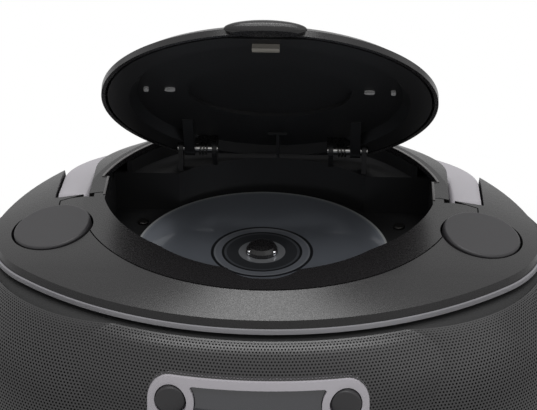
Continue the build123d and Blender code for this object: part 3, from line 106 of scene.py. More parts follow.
@dataclass(frozen=True)
class Finish:
    """A surface finish: a base colour, a clouding of it, and a relief at a real size."""

    name: str
    colour: str
    cloud: str
    roughness: float
    kind: Kind = Kind.PLASTIC
    cloud_mm: float = 30.0
    grain_mm: float = 0.8
    grain_depth: float = 0.01
    rough_spread: float = 0.06
    stretch: tuple[float, float, float] = (1.0, 1.0, 1.0)
    coat: float = 0.0
    coat_roughness: float = 0.2
    ior: float = 1.5
    specular: float = 0.5

    def build(self) -> bpy.types.Material:
        """Make the material once and hand back the same one after that.

        Returns:
            The Blender material of this finish.
        """
        made = bpy.data.materials.get(self.name)
        if made is not None:
            return made
        material = bpy.data.materials.new(self.name)
        material.use_nodes = True
        tree = material.node_tree
        shader = tree.nodes["Principled BSDF"]
        place = add_node(tree, "TexCoord").outputs["Object"]
        scaled = add_node(tree, "Mapping", {"Vector": place, "Scale": self.stretch}).outputs[0]
        cloud = add_node(
            tree,
            "TexNoise",
            {"Vector": scaled, "Scale": 1 / (self.cloud_mm * MM), "Detail": 4.0, "Roughness": 0.6},
        )
        grain = add_node(
            tree,
            "TexNoise",
            {"Vector": scaled, "Scale": 1 / (self.grain_mm * MM), "Detail": 3.0, "Roughness": 0.55},
        )
        colour = add_node(
            tree,
            "Mix",
            {0: cloud.outputs["Fac"], 6: linear(self.colour), 7: linear(self.cloud)},
            data_type="RGBA",
        )
        tree.links.new(colour.outputs[2], shader.inputs["Base Color"])
        spread = add_node(
            tree,
            "MapRange",
            {
                "Value": grain.outputs["Fac"],
                "From Min": 0.3,
                "From Max": 0.7,
                "To Min": max(self.roughness - self.rough_spread, 0.02),
                "To Max": min(self.roughness + self.rough_spread, 1.0),
            },
        )
        tree.links.new(spread.outputs[0], shader.inputs["Roughness"])
        bump = add_node(
            tree,
            "Bump",
            {"Height": grain.outputs["Fac"], "Distance": self.grain_depth * MM, "Strength": 1.0},
        )
        tree.links.new(bump.outputs[0], shader.inputs["Normal"])
        if self.kind is Kind.METAL:
            shader.inputs["Metallic"].default_value = 1.0
        else:
            shader.inputs["IOR"].default_value = self.ior
            shader.inputs["Specular IOR Level"].default_value = self.specular
        if self.kind is Kind.GLASS:
            shader.inputs["Transmission Weight"].default_value = 0.9
        if self.coat:
            shader.inputs["Coat Weight"].default_value = self.coat
            shader.inputs["Coat Roughness"].default_value = self.coat_roughness
        return material


# Semi-gloss black ABS: soft wide reflections over a nearly black body.
GLOSS_ABS = Finish(
    "polished_black_abs", "#181718", "#1d1c1d", 0.28, specular=0.4, grain_depth=0.001
)
# The same resin from an etched tool: fine matt grain that takes light evenly.
ETCHED_ABS = Finish(
    "etched_black_abs", "#1a1a1b", "#212122", 0.55, specular=0.3, grain_mm=0.5, grain_depth=0.02
)
# Cabinet resin below the top panel, a shade paler and dusted with a finer etch.
CABINET_ABS = Finish(
    "etched_charcoal_abs", "#1f1f20", "#272727", 0.6, specular=0.3, grain_mm=0.45, grain_depth=0.025
)
# Moulded well, polished on the steep walls and slightly scuffed by discs.
WELL_ABS = Finish(
    "moulded_well_abs", "#181819", "#1e1e1f", 0.44, specular=0.25, grain_mm=0.6, grain_depth=0.008
)
# The lid's lining, a finer tool finish than the well's.
LINER_ABS = Finish(
    "moulded_liner_abs", "#161617", "#1b1b1c", 0.4, specular=0.25, grain_mm=0.5, grain_depth=0.004
)
# The lip round the disc well's mouth, painted pale: a painted highlight standing in for light
# caught on the mouth's rounded edge.
LIP_HIGHLIGHT_ABS = Finish(
    "lip_painted_highlight_abs", "#5d5b5b", "#686666", 0.35, cloud_mm=12.0, grain_mm=0.4, grain_depth=0.003
)
# Satin resin of the dials, turned in the tool.
DIAL_ABS = Finish(
    "satin_dial_abs", "#282729", "#2e2d2f", 0.42, specular=0.35, grain_mm=0.4, grain_depth=0.006
)
# Bone-coloured acetal of the latch's tongue.
TONGUE_ACETAL = Finish("bone_acetal", "#6f6c66", "#77746d", 0.5, grain_mm=0.5, grain_depth=0.006)
# Sprayed aluminium-flake lacquer on ABS, for the handle, the display bezel and the keys.
SPRAYED_SILVER = Finish(
    "sprayed_silver_lacquer",
    "#a39fa5",
    "#aca9ae",
    0.4,
    grain_mm=0.3,
    grain_depth=0.004,
    rough_spread=0.08,
)
# The same lacquer, darker, on the thin trim ring.
SPRAYED_GREY = Finish(
    "sprayed_grey_lacquer",
    "#8b8a8e",
    "#949397",
    0.42,
    grain_mm=0.3,
    grain_depth=0.004,
    rough_spread=0.08,
)
# Powder-coated perforated steel sheet.
COATED_STEEL = Finish(
    "coated_grille_steel", "#222122", "#272627", 0.3, specular=0.6, grain_mm=0.35, grain_depth=0.008
)
# Blackened spring wire, oiled after coiling.
BLACKED_WIRE = Finish(
    "blackened_spring_wire", "#4a4948", "#3c3b3a", 0.35, Kind.METAL, cloud_mm=2.0, grain_mm=0.2
)
# Blackened screws of the well.
BLACKED_STEEL = Finish(
    "blackened_steel", "#3d3c3b", "#323130", 0.4, Kind.METAL, cloud_mm=3.0, grain_mm=0.2
)
# Cold-drawn steel of pins, rods and screws.
DRAWN_STEEL = Finish(
    "drawn_steel",
    "#b6b5b2",
    "#a09f9d",
    0.3,
    Kind.METAL,
    cloud_mm=6.0,
    grain_mm=0.25,
    grain_depth=0.004,
)
# Chromed bearing balls.
CHROMED_STEEL = Finish(
    "chromed_steel", "#d8d8da", "#c9c9cc", 0.06, Kind.METAL, grain_depth=0.0005, rough_spread=0.02
)
# Nickel-plated spring sheet of the battery contacts.
NICKEL_PLATE = Finish(
    "nickel_plate", "#c4c0b6", "#b2ada2", 0.28, Kind.METAL, cloud_mm=5.0, grain_mm=0.3
)
# Pressed steel of the speaker baskets.
PRESSED_STEEL = Finish(
    "pressed_zinc_steel", "#8d8f90", "#7b7d7f", 0.4, Kind.METAL, cloud_mm=8.0, grain_mm=0.7
)
# Sintered ferrite, grainy and dark.
FERRITE = Finish("sintered_ferrite", "#3a3a3c", "#2c2c2e", 0.75, grain_mm=0.6, grain_depth=0.04)
# Varnished laminated iron with a trace of rust clouded through it in streaks.
CORE_IRON = Finish(
    "varnished_core_iron", "#4a4340", "#5c4a3c", 0.5, cloud_mm=9.0, stretch=(1.0, 8.0, 1.0)
)
# Crêped yellow tape round the transformer's winding.
WINDING_TAPE = Finish("winding_tape", "#c09a2c", "#b08a24", 0.5, grain_mm=1.2, grain_depth=0.05)
# Doped paper pulp of the cones.
CONE_PAPER = Finish(
    "doped_cone_paper", "#1c1b1b", "#262524", 0.8, cloud_mm=4.0, grain_mm=0.9, grain_depth=0.08
)
# Moulded synthetic rubber of feet and dampers.
RUBBER = Finish(
    "moulded_rubber", "#1b1b1b", "#242424", 0.85, grain_mm=0.7, grain_depth=0.03, ior=1.45
)
# Grey felt-like pads that hold a disc down.
PAD_RUBBER = Finish(
    "pad_rubber", "#6c6b68", "#605e5c", 0.8, grain_mm=0.5, grain_depth=0.05, ior=1.45
)
# Smoked acrylic window.
SMOKED_ACRYLIC = Finish(
    "smoked_acrylic",
    "#2a2a30",
    "#24242a",
    0.06,
    ior=1.49,
    grain_depth=0.0005,
    coat=0.6,
    coat_roughness=0.03,
)
# The display cell, switched off: a grey-green glass sandwich.
DISPLAY_CELL = Finish(
    "display_cell", "#55594f", "#5c6056", 0.2, cloud_mm=12.0, grain_mm=0.6, grain_depth=0.002
)
# Green solder-masked laminate, its weave just showing.
LAMINATE = Finish(
    "solder_masked_laminate", "#245a34", "#2c6a3e", 0.35, cloud_mm=7.0, grain_mm=0.5, coat=0.3
)
# Coated lens that shows blue at a glance.
COATED_LENS = Finish(
    "coated_lens", "#8fa6d8", "#7b92cc", 0.04, Kind.GLASS, ior=1.52, grain_depth=0.0005
)


@dataclass(frozen=True)
class DiscFoil:
    """A pressed disc's underlayers by radius: clear hub zone, mirror rings and the data band.

    The data band is metallised and finely grooved, so it is darker and draws highlights out
    sideways; the hub zone is clear resin over shadow.
    """

    name: str = "metallised_disc"
    centre_mm: tuple[float, float] = (-3.0, 5.0)
    radii_mm: tuple[float, ...] = (7.5, 11.0, 16.6, 17.6, 18.8, 21.6, 22.6, 24.0, 57.5, 58.6)
    colours: tuple[str, ...] = (
        "#a2a4a8",
        "#45474b",
        "#63666b",
        "#2a2b2e",
        "#8e929a",
        "#9da1a8",
        "#292a2e",
        "#858a93",
        "#90969f",
        "#bcbfc0",
    )
    roughness: float = 0.3
    groove_mm: float = 0.7
    groove_depth_mm: float = 0.0012
    edge_mm: float = 60.0

    def build(self) -> bpy.types.Material:
        """Make the disc's material.

        Returns:
            The Blender material.
        """
        material = bpy.data.materials.new(self.name)
        material.use_nodes = True
        tree = material.node_tree
        shader = tree.nodes["Principled BSDF"]
        place = add_node(tree, "TexCoord").outputs["Object"]
        middle = (-self.centre_mm[0] * MM, -self.centre_mm[1] * MM, 0.0)
        moved = add_node(tree, "Mapping", {"Vector": place, "Location": middle}).outputs[0]
        flat = add_node(
            tree, "VectorMath", {0: moved, 1: (1.0, 1.0, 0.0)}, operation="MULTIPLY"
        ).outputs[0]
        radius = add_node(tree, "VectorMath", {0: flat}, operation="LENGTH").outputs["Value"]
        edge = self.edge_mm * MM
        share = add_node(tree, "Math", {0: radius, 1: edge}, operation="DIVIDE").outputs[0]
        zones = add_node(tree, "ValToRGB", {"Fac": share})
        zones.color_ramp.interpolation = "CONSTANT"
        stops = zones.color_ramp.elements
        stops[0].position = 0.0
        stops[0].color = linear(self.colours[0])
        stops.remove(stops[1])
        for at, colour in zip(self.radii_mm[1:], self.colours[1:], strict=True):
            stop = stops.new(at * MM / edge)
            stop.color = linear(colour)
        tree.links.new(zones.outputs[0], shader.inputs["Base Color"])
        grooves = add_node(
            tree,
            "Math",
            {0: radius, 1: 2 * math.pi / (self.groove_mm * MM)},
            operation="MULTIPLY",
        ).outputs[0]
        wave = add_node(tree, "Math", {0: grooves}, operation="SINE").outputs[0]
        relief = {"Height": wave, "Distance": self.groove_depth_mm * MM, "Strength": 1.0}
        bump = add_node(tree, "Bump", relief)
        tree.links.new(bump.outputs[0], shader.inputs["Normal"])
        turned = add_node(
            tree, "VectorMath", {0: flat, 1: (0.0, 0.0, 1.0)}, operation="CROSS_PRODUCT"
        ).outputs[0]
        along = add_node(tree, "VectorMath", {0: turned}, operation="NORMALIZE").outputs[0]
        tree.links.new(along, shader.inputs["Tangent"])
        shader.inputs["Metallic"].default_value = 0.6
        shader.inputs["Roughness"].default_value = self.roughness
        shader.inputs["Anisotropic"].default_value = 0.7
        shader.inputs["Coat Weight"].default_value = 0.3
        shader.inputs["Coat Roughness"].default_value = 0.05
        return material


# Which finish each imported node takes.
NODE_FINISH: dict[str, Finish] = {
    "top_cover": GLOSS_ABS,
    "deck_plate": GLOSS_ABS,
    "cd_well": WELL_ABS,
    "front_cabinet": CABINET_ABS,
    "rear_cabinet": CABINET_ABS,
    "battery_door": CABINET_ABS,
    "trim_ring": SPRAYED_GREY,
    "speaker_grille": COATED_STEEL,
    "left_speaker_frame": PRESSED_STEEL,
    "right_speaker_frame": PRESSED_STEEL,
    "left_speaker_cone": CONE_PAPER,
    "right_speaker_cone": CONE_PAPER,
    "left_speaker_magnet": FERRITE,
    "right_speaker_magnet": FERRITE,
    "display_bezel": SPRAYED_SILVER,
    "display_window": SMOKED_ACRYLIC,
    "display_board": LAMINATE,
    "lcd_panel": DISPLAY_CELL,
    "tact_switches": ETCHED_ABS,
    "left_round_button": DIAL_ABS,
    "right_round_button": DIAL_ABS,
    "key_1": SPRAYED_SILVER,
    "key_2": SPRAYED_SILVER,
    "key_3": SPRAYED_SILVER,
    "key_4": SPRAYED_SILVER,
    "left_dial": DIAL_ABS,
    "right_dial": DIAL_ABS,
    "left_encoder": ETCHED_ABS,
    "right_encoder": ETCHED_ABS,
    "handle": SPRAYED_SILVER,
    "handle_pins": DRAWN_STEEL,
    "lid_shell": GLOSS_ABS,
    "lid_liner": LINER_ABS,
    "lid_pads": PAD_RUBBER,
    "latch_tongue": TONGUE_ACETAL,
    "latch_catch": ETCHED_ABS,
    "hinge_pins": DRAWN_STEEL,
    "lid_springs": BLACKED_WIRE,
    "turntable_hub": GLOSS_ABS,
    "hub_balls": CHROMED_STEEL,
    "spindle_motor": DRAWN_STEEL,
    "deck_chassis": ETCHED_ABS,
    "deck_dampers": RUBBER,
    "laser_sled": ETCHED_ABS,
    "objective_lens": COATED_LENS,
    "guide_rods": DRAWN_STEEL,
    "sled_motor": DRAWN_STEEL,
    "lead_screw": DRAWN_STEEL,
    "well_screws": BLACKED_STEEL,
    "battery_bay": ETCHED_ABS,
    "battery_contacts": NICKEL_PLATE,
    "main_board": LAMINATE,
    "transformer_core": CORE_IRON,
    "transformer_winding": WINDING_TAPE,
    "socket_panel": ETCHED_ABS,
    "ac_inlet": ETCHED_ABS,
    "audio_jack": ETCHED_ABS,
    "feet": RUBBER,
    "cabinet_screws": DRAWN_STEEL,
}


def dress(node: bpy.types.Object, material: bpy.types.Material, angle: float = 30.0) -> None:
    """Give an object one material and smooth its gentle edges.

    Args:
        node: The object to dress.
        material: Its only material.
        angle: Edges that turn less than this many degrees are smoothed.
    """
    node.data.materials.clear()
    node.data.materials.append(material)
    select_only(node)
    bpy.ops.object.shade_smooth_by_angle(angle=math.radians(angle))
    node.select_set(False)


def deselect_all() -> None:
    """Leave nothing selected, so that an operator acts on its own piece alone."""
    bpy.ops.object.select_all(action="DESELECT")


def select_only(piece: bpy.types.Object) -> None:
    """Make one piece the active object and the only selected one.

    Args:
        piece: The object that the next operator acts on.
    """
    deselect_all()
    piece.select_set(True)
    bpy.context.view_layer.objects.active = piece


def name_active(name: str) -> bpy.types.Object:
    """Name the piece that was just added.

    Args:
        name: The piece's name.

    Returns:
        The object.
    """
    piece = bpy.context.active_object
    piece.name = name
    piece.data.name = name
    return piece


def apply_modifiers(piece: bpy.types.Object) -> None:
    """Apply every modifier of a piece in order.

    Args:
        piece: The object to finish.
    """
    select_only(piece)
    for modifier in list(piece.modifiers):
        bpy.ops.object.modifier_apply(modifier=modifier.name)
    piece.select_set(False)


def points_of(piece: bpy.types.Object) -> np.ndarray:
    """Read a piece's mesh points.

    Args:
        piece: The object to read.

    Returns:
        One row of three lengths for each point, in the mesh's own units.
    """
    points = np.zeros(len(piece.data.vertices) * 3)
    piece.data.vertices.foreach_get("co", points)
    return points.reshape(-1, 3)


def set_points(piece: bpy.types.Object, points: np.ndarray) -> None:
    """Move a piece's mesh points.

    Args:
        piece: The object to change.
        points: The new places, in millimetres.
    """
    piece.data.vertices.foreach_set("co", (points * MM).ravel())
    piece.data.update()


@dataclass
class Studio:
    """Floor, light, background and the camera that stands where the photograph was taken."""

    camera_mm: tuple[float, float, float] = (34.540, -890.680, 607.196)
    aim_mm: tuple[float, float, float] = (-0.364, 16.200, 120.112)
    lens_mm: float = 146.39
    ambient: float = 0.36
    key_watts: float = 5.5
    fill_watts: float = 2.0
    rear_watts: float = 6.0
    target_m: tuple[float, float, float] = (0.0, 0.0, 0.1)
    shadow_reach: float = 0.3
    floor_side: float = 8.0
    floor_z: float = -0.0002

    def build(self) -> None:
        """Set the stage."""
        self.build_floor()
        self.build_world()
        self.add_lamp("key_lamp", (0.0, -0.35, 1.35), (1.2, 0.25), self.key_watts)
        self.add_lamp("fill_lamp", (0.9, -0.6, 0.8), (1.0, 1.0), self.fill_watts)
        self.add_lamp("rear_lamp", (0.0, 0.21, 1.39), (0.8, 0.3), self.rear_watts)
        self.build_camera()
        bpy.context.scene.view_settings.view_transform = "Standard"

    def build_floor(self) -> None:
        """Lay a pale floor that shows white to the camera and keeps the shadow."""
        deselect_all()
        bpy.ops.mesh.primitive_plane_add(size=self.floor_side, location=(0, 0, self.floor_z))
        floor = name_active("studio_floor")
        material = bpy.data.materials.new("pale_floor_paint")
        material.use_nodes = True
        tree = material.node_tree
        shader = tree.nodes["Principled BSDF"]
        place = add_node(tree, "TexCoord").outputs["Object"]
        noise = add_node(tree, "TexNoise", {"Vector": place, "Scale": 6.0, "Detail": 3.0})
        tone = add_node(
            tree,
            "Mix",
            {0: noise.outputs["Fac"], 6: linear("#f4f4f4"), 7: linear("#fafafa")},
            data_type="RGBA",
        )
        tree.links.new(tone.outputs[2], shader.inputs["Base Color"])
        shader.inputs["Roughness"].default_value = 0.8
        away = add_node(tree, "VectorMath", {0: place}, operation="LENGTH").outputs["Value"]
        beyond = add_node(
            tree,
            "MapRange",
            {"Value": away, "From Min": 0.5 * self.shadow_reach, "From Max": self.shadow_reach},
            interpolation_type="SMOOTHSTEP",
        ).outputs[0]
        seen = add_node(tree, "LightPath").outputs["Is Camera Ray"]
        share = add_node(tree, "Math", {0: beyond, 1: seen}, operation="MULTIPLY").outputs[0]
        white = add_node(tree, "Emission", {"Color": (1, 1, 1, 1), "Strength": 1.0})
        mixed = add_node(tree, "MixShader", {0: share, 1: shader.outputs[0], 2: white.outputs[0]})
        tree.links.new(mixed.outputs[0], tree.nodes["Material Output"].inputs["Surface"])
        floor.data.materials.append(material)

    def build_world(self) -> None:
        """Light softly from all round and show white behind the object."""
        world = bpy.data.worlds.new("studio_air")
        bpy.context.scene.world = world
        world.use_nodes = True
        tree = world.node_tree
        for node in list(tree.nodes):
            tree.nodes.remove(node)
        path = add_node(tree, "LightPath")
        seen = add_node(
            tree,
            "Math",
            {0: path.outputs["Is Camera Ray"], 1: path.outputs["Is Glossy Ray"]},
            operation="MAXIMUM",
        ).outputs[0]
        through = add_node(
            tree, "Math", {0: seen, 1: path.outputs["Is Transmission Ray"]}, operation="MAXIMUM"
        ).outputs[0]
        air = add_node(tree, "Background", {"Color": (1, 1, 1, 1), "Strength": self.ambient})
        white = add_node(tree, "Background", {"Color": (1, 1, 1, 1), "Strength": 1.0})
        mixed = add_node(
            tree, "MixShader", {0: through, 1: air.outputs[0], 2: white.outputs[0]}
        )
        add_node(tree, "OutputWorld", {"Surface": mixed.outputs[0]})

    def add_lamp(
        self, name: str, place: tuple[float, float, float], size: tuple[float, float], watts: float
    ) -> None:
        """Add a soft box lamp that faces the player.

        Args:
            name: The lamp's name.
            place: Where it stands, in metres.
            size: Its width and depth, in metres.
            watts: Its power.
        """
        lamp = bpy.data.lights.new(name, "AREA")
        lamp.shape = "RECTANGLE"
        lamp.size, lamp.size_y = size
        lamp.energy = watts
        holder = bpy.data.objects.new(name, lamp)
        bpy.context.scene.collection.objects.link(holder)
        holder.location = place
        towards = Vector(self.target_m) - holder.location
        holder.rotation_euler = towards.to_track_quat("-Z", "Y").to_euler()

    def build_camera(self) -> None:
        """Stand the camera at the photograph's viewpoint."""
        camera = bpy.data.cameras.new("studio_camera")
        camera.lens = self.lens_mm
        camera.sensor_width = 36.0
        camera.clip_start = 0.05
        camera.clip_end = 20.0
        holder = bpy.data.objects.new("studio_camera", camera)
        bpy.context.scene.collection.objects.link(holder)
        holder.location = Vector(self.camera_mm) * MM
        aim = Vector(self.aim_mm) * MM
        holder.rotation_euler = (aim - holder.location).to_track_quat("-Z", "Y").to_euler()
        bpy.context.scene.camera = holder


@dataclass
class BodySkin:
    """The cabinet's outer skin as a mapping from a flat strip, in millimetres."""

    front_y: float = -117.0
    front_radius: float = 188.5
    side_radius: float = 74.0
    half_width: float = 150.0
    base_z: float = 3.0
    widest_z: float = 65.0
    roll_top_z: float = 116.0
    roll_inset: float = 27.0
    under_z: float = -5.0
    under_inset: float = 20.0
    samples: int = 2000

    def side_centre(self) -> tuple[float, float]:
        """Find the centre of the right-hand side arc.

        Returns:
            Its X and Y.
        """
        side_x = self.half_width - self.side_radius
        reach = self.front_radius - self.side_radius
        side_y = self.front_y + self.front_radius - math.sqrt(reach**2 - side_x**2)
        return side_x, side_y

    def turn_angle(self) -> float:
        """Find the bearing at which the front arc hands over to the side arc.

        Returns:
            The bearing in radians.
        """
        side_x, side_y = self.side_centre()
        return math.atan2(side_x, self.front_y + self.front_radius - side_y)

    def bearing_at(self, length: np.ndarray) -> np.ndarray:
        """Find the bearing of the skin's normal at a distance along the widest outline.

        Args:
            length: Signed distances from the middle of the front.

        Returns:
            Bearings in radians, positive to the right.
        """
        turn = self.turn_angle()
        straight = self.front_radius * turn
        away = np.abs(length)
        past = turn + (away - straight) / self.side_radius
        return np.sign(length) * np.where(away <= straight, away / self.front_radius, past)

    def inset_at(self, height: np.ndarray) -> np.ndarray:
        """Find how far the skin lies inside the widest outline.

        Args:
            height: Heights above the table.

        Returns:
            Inward distances.
        """
        rise = height - self.widest_z
        up = np.clip(rise / (self.roll_top_z - self.widest_z), 0, 1)
        down = np.clip(-rise / (self.widest_z - self.under_z), 0, 1)
        roll = self.roll_inset * (1 - np.sqrt(1 - up**2))
        return roll + self.under_inset * (1 - np.sqrt(1 - down**2))

    def height_at(self, along: np.ndarray, low: float, high: float) -> np.ndarray:
        """Find the height at a distance up the skin's side profile.

        Args:
            along: Distances up the profile from its low end.
            low: Height of the low end.
            high: Height of the high end.

        Returns:
            Heights.
        """
        heights = np.linspace(low, high, self.samples)
        insets = self.inset_at(heights)
        steps = np.hypot(np.diff(heights), np.diff(insets))
        lengths = np.concatenate([[0.0], np.cumsum(steps)])
        return np.interp(along, lengths, heights)

    def profile_length(self, low: float, high: float) -> float:
        """Measure the side profile between two heights.

        Args:
            low: Height of the low end.
            high: Height of the high end.

        Returns:
            The length.
        """
        heights = np.linspace(low, high, self.samples)
        return float(np.hypot(np.diff(heights), np.diff(self.inset_at(heights))).sum())

    def place(self, bearing: np.ndarray, height: np.ndarray, depth: float = 0.0) -> np.ndarray:
        """Find points on the skin.

        Args:
            bearing: Bearings of the normal.
            height: Heights above the table.
            depth: How far under the skin.

        Returns:
            An array of points.
        """
        turn = self.turn_angle()
        side_x, side_y = self.side_centre()
        inset = self.inset_at(height) + depth
        on_side = np.abs(bearing) > turn
        radius = np.where(on_side, self.side_radius, self.front_radius) - inset
        centre_x = np.where(on_side, np.sign(bearing) * side_x, 0.0)
        centre_y = np.where(on_side, side_y, self.front_y + self.front_radius)
        x = centre_x + radius * np.sin(bearing)
        y = centre_y - radius * np.cos(bearing)
        return np.stack([x, y, height], axis=1)


@dataclass
class SpeakerGrille:
    """The perforated sheet round the cabinet's front, with a bulge over each speaker."""

    skin: BodySkin = field(default_factory=BodySkin)
    pitch_mm: float = 1.6
    land_share: float = 0.4
    low_z: float = 10.0
    high_z: float = 114.4
    seam_y: float = -0.6
    border_mm: float = 0.9
    dome_radius: float = 90.0
    dome_proud: float = 6.0
    dome_turn: float = 34.0
    dome_z: float = 57.0
    bezel_half_width: float = 47.6
    bezel_low_z: float = 58.0
    bezel_high_z: float = 102.0
    bezel_corner: float = 10.0
    tuck: float = 1.2
    side_degrees: float = 108.0
    rim_steps: int = 240
    seam_steps: int = 60
    seam_lift: float = 0.02
    sheet_mm: float = 0.9

    def build(self) -> None:
        """Make the sheet's two halves and its plain rim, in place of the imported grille."""
        sheet = self.cell_field()
        halves = {Side.LEFT: sheet, Side.RIGHT: self.copy_of(sheet)}
        for side, half in halves.items():
            self.trim(half, side)
            self.weld(half)
            half.name = f"perforated_grille_{side.name.lower()}"
        for piece in (*halves.values(), self.border()):
            dress(piece, COATED_STEEL.build(), 40.0)
            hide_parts("speaker_grille")
            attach(piece, "cabinet")
            LOG.info("%s, %d faces", piece.name, len(piece.data.polygons))

    def copy_of(self, sheet: bpy.types.Object) -> bpy.types.Object:
        """Copy the wrapped field for the other half.

        Args:
            sheet: The wrapped field.

        Returns:
            The copy.
        """
        select_only(sheet)
        bpy.ops.object.duplicate()
        return name_active("grille_field_copy")

    def cell_field(self) -> bpy.types.Object:
        """Pierce a flat field of hexagons and wrap it round the cabinet.

        Returns:
            The perforated sheet.
        """
        radius = self.pitch_mm / math.sqrt(3)
        row = self.pitch_mm * math.sqrt(3)
        turn = self.skin.turn_angle()
        past = math.radians(self.side_degrees) - turn
        reach = self.skin.front_radius * turn + self.skin.side_radius * past
        tall = self.skin.profile_length(self.low_z, self.high_z)
        columns = int(2 * reach / self.pitch_mm)
        rows = int(tall / row)
        deselect_all()
        bpy.ops.mesh.primitive_circle_add(vertices=6, radius=radius, fill_type="NGON")
        sheet = name_active("grille_field")
        bpy.ops.object.mode_set(mode="EDIT")
        bpy.ops.mesh.duplicate()
        bpy.ops.transform.translate(value=(self.pitch_mm / 2, row / 2, 0))
        bpy.ops.mesh.select_all(action="SELECT")
        bpy.ops.mesh.inset(thickness=radius * self.land_share, use_individual=True)
        bpy.ops.mesh.delete(type="FACE")
        bpy.ops.object.mode_set(mode="OBJECT")
        for count, step in ((columns, (self.pitch_mm, 0, 0)), (rows, (0, row, 0))):
            array = sheet.modifiers.new("copies", "ARRAY")
            array.count = count
            array.use_relative_offset = False
            array.use_constant_offset = True
            array.constant_offset_displace = step
            array.use_merge_vertices = False
        apply_modifiers(sheet)
        flat = points_of(sheet)
        flat[:, 0] -= (columns - 0.5) * self.pitch_mm / 2
        flat[:, 1] += (tall - (rows - 0.5) * row) / 2
        bearing = self.skin.bearing_at(flat[:, 0])
        height = self.skin.height_at(flat[:, 1], self.low_z, self.high_z)
        set_points(sheet, self.bulged(self.skin.place(bearing, height), bearing))
        return sheet

    def trim(self, sheet: bpy.types.Object, side: Side) -> None:
        """Keep one side's cells, without those under the display bezel and behind the seam.

        Args:
            sheet: The wrapped field.
            side: The side that stays.
        """
        shape = bmesh.new()
        shape.from_mesh(sheet.data)
        shape.verts.ensure_lookup_table()
        gone = []
        for face in shape.faces:
            place = face.calc_center_median() / MM
            if place.y > self.seam_y - self.border_mm / 2 or (place.x > 0) != (side is Side.RIGHT):
                gone.append(face)
            elif self.under_bezel(place.x, place.z):
                gone.append(face)
        bmesh.ops.delete(shape, geom=gone, context="FACES")
        shape.to_mesh(sheet.data)
        shape.free()

    def under_bezel(self, x: float, z: float) -> bool:
        """Tell whether a place on the front lies under the display bezel.

        Args:
            x: Distance to the right of the middle.
            z: Height above the table.

        Returns:
            True under the bezel.
        """
        middle = (self.bezel_low_z + self.bezel_high_z) / 2
        half = (self.bezel_high_z - self.bezel_low_z) / 2 - self.tuck
        corner = self.bezel_corner - self.tuck
        away_x = max(abs(x) - (self.bezel_half_width - self.tuck - corner), 0)
        away_z = max(abs(z - middle) - (half - corner), 0)
        return math.hypot(away_x, away_z) < corner

    def weld(self, sheet: bpy.types.Object) -> None:
        """Join the cells' shared edges.

        Args:
            sheet: The trimmed field.
        """
        select_only(sheet)
        bpy.ops.object.mode_set(mode="EDIT")
        bpy.ops.mesh.select_all(action="SELECT")
        bpy.ops.mesh.remove_doubles(threshold=0.1 * MM)
        bpy.ops.mesh.normals_make_consistent(inside=False)
        bpy.ops.object.mode_set(mode="OBJECT")
        sheet.select_set(False)

    def border(self) -> bpy.types.Object:
        """Fold a plain rim round the sheet's top, bottom and rear edges.

        Returns:
            The rim.
        """
        strips = []
        reach = self.skin.profile_length(self.low_z, self.high_z)
        widths = ((0.0, self.border_mm), (reach - self.border_mm, reach))
        for number, (low, high) in enumerate(widths):
            deselect_all()
            bpy.ops.mesh.primitive_grid_add(
                x_subdivisions=self.rim_steps, y_subdivisions=1, size=2.0
            )
            strip = name_active(f"grille_rim_{number}")
            flat = points_of(strip)
            height = self.skin.height_at(
                np.where(flat[:, 1] > 0, high, low), self.low_z, self.high_z
            )
            bearing = flat[:, 0] * self.seam_bearing(height)
            set_points(strip, self.bulged(self.skin.place(bearing, height), bearing))
            strips.append(strip)
        for side in Side:
            deselect_all()
            bpy.ops.mesh.primitive_grid_add(
                x_subdivisions=1, y_subdivisions=self.seam_steps, size=2.0
            )
            strip = name_active(f"grille_rim_{side.name.lower()}")
            flat = points_of(strip)
            height = self.low_z + (flat[:, 1] + 1) / 2 * (self.high_z - self.low_z)
            seam = self.seam_bearing(height)
            inner = seam - self.border_mm / (self.skin.side_radius - self.skin.inset_at(height))
            bearing = side.value * np.where(flat[:, 0] > 0, seam, inner)
            placed = self.skin.place(bearing, height, -self.seam_lift)
            set_points(strip, self.bulged(placed, bearing))
            strips.append(strip)
        deselect_all()
        for strip in strips:
            strip.select_set(True)
        bpy.context.view_layer.objects.active = strips[0]
        bpy.ops.object.join()
        rim = name_active("grille_rim")
        bpy.ops.object.mode_set(mode="EDIT")
        bpy.ops.mesh.select_all(action="SELECT")
        bpy.ops.mesh.normals_make_consistent(inside=False)
        bpy.ops.object.mode_set(mode="OBJECT")
        solid = rim.modifiers.new("sheet", "SOLIDIFY")
        solid.thickness = self.sheet_mm * MM
        solid.offset = -1.0
        apply_modifiers(rim)
        return rim

    def seam_bearing(self, height: np.ndarray) -> np.ndarray:
        """Find the bearing at which the skin meets the seam between the shells.

        Args:
            height: Heights above the table.

        Returns:
            Bearings, all positive.
        """
        _, side_y = self.skin.side_centre()
        radius = self.skin.side_radius - self.skin.inset_at(height)
        return np.arccos(np.clip((side_y - self.seam_y) / radius, -1, 1))

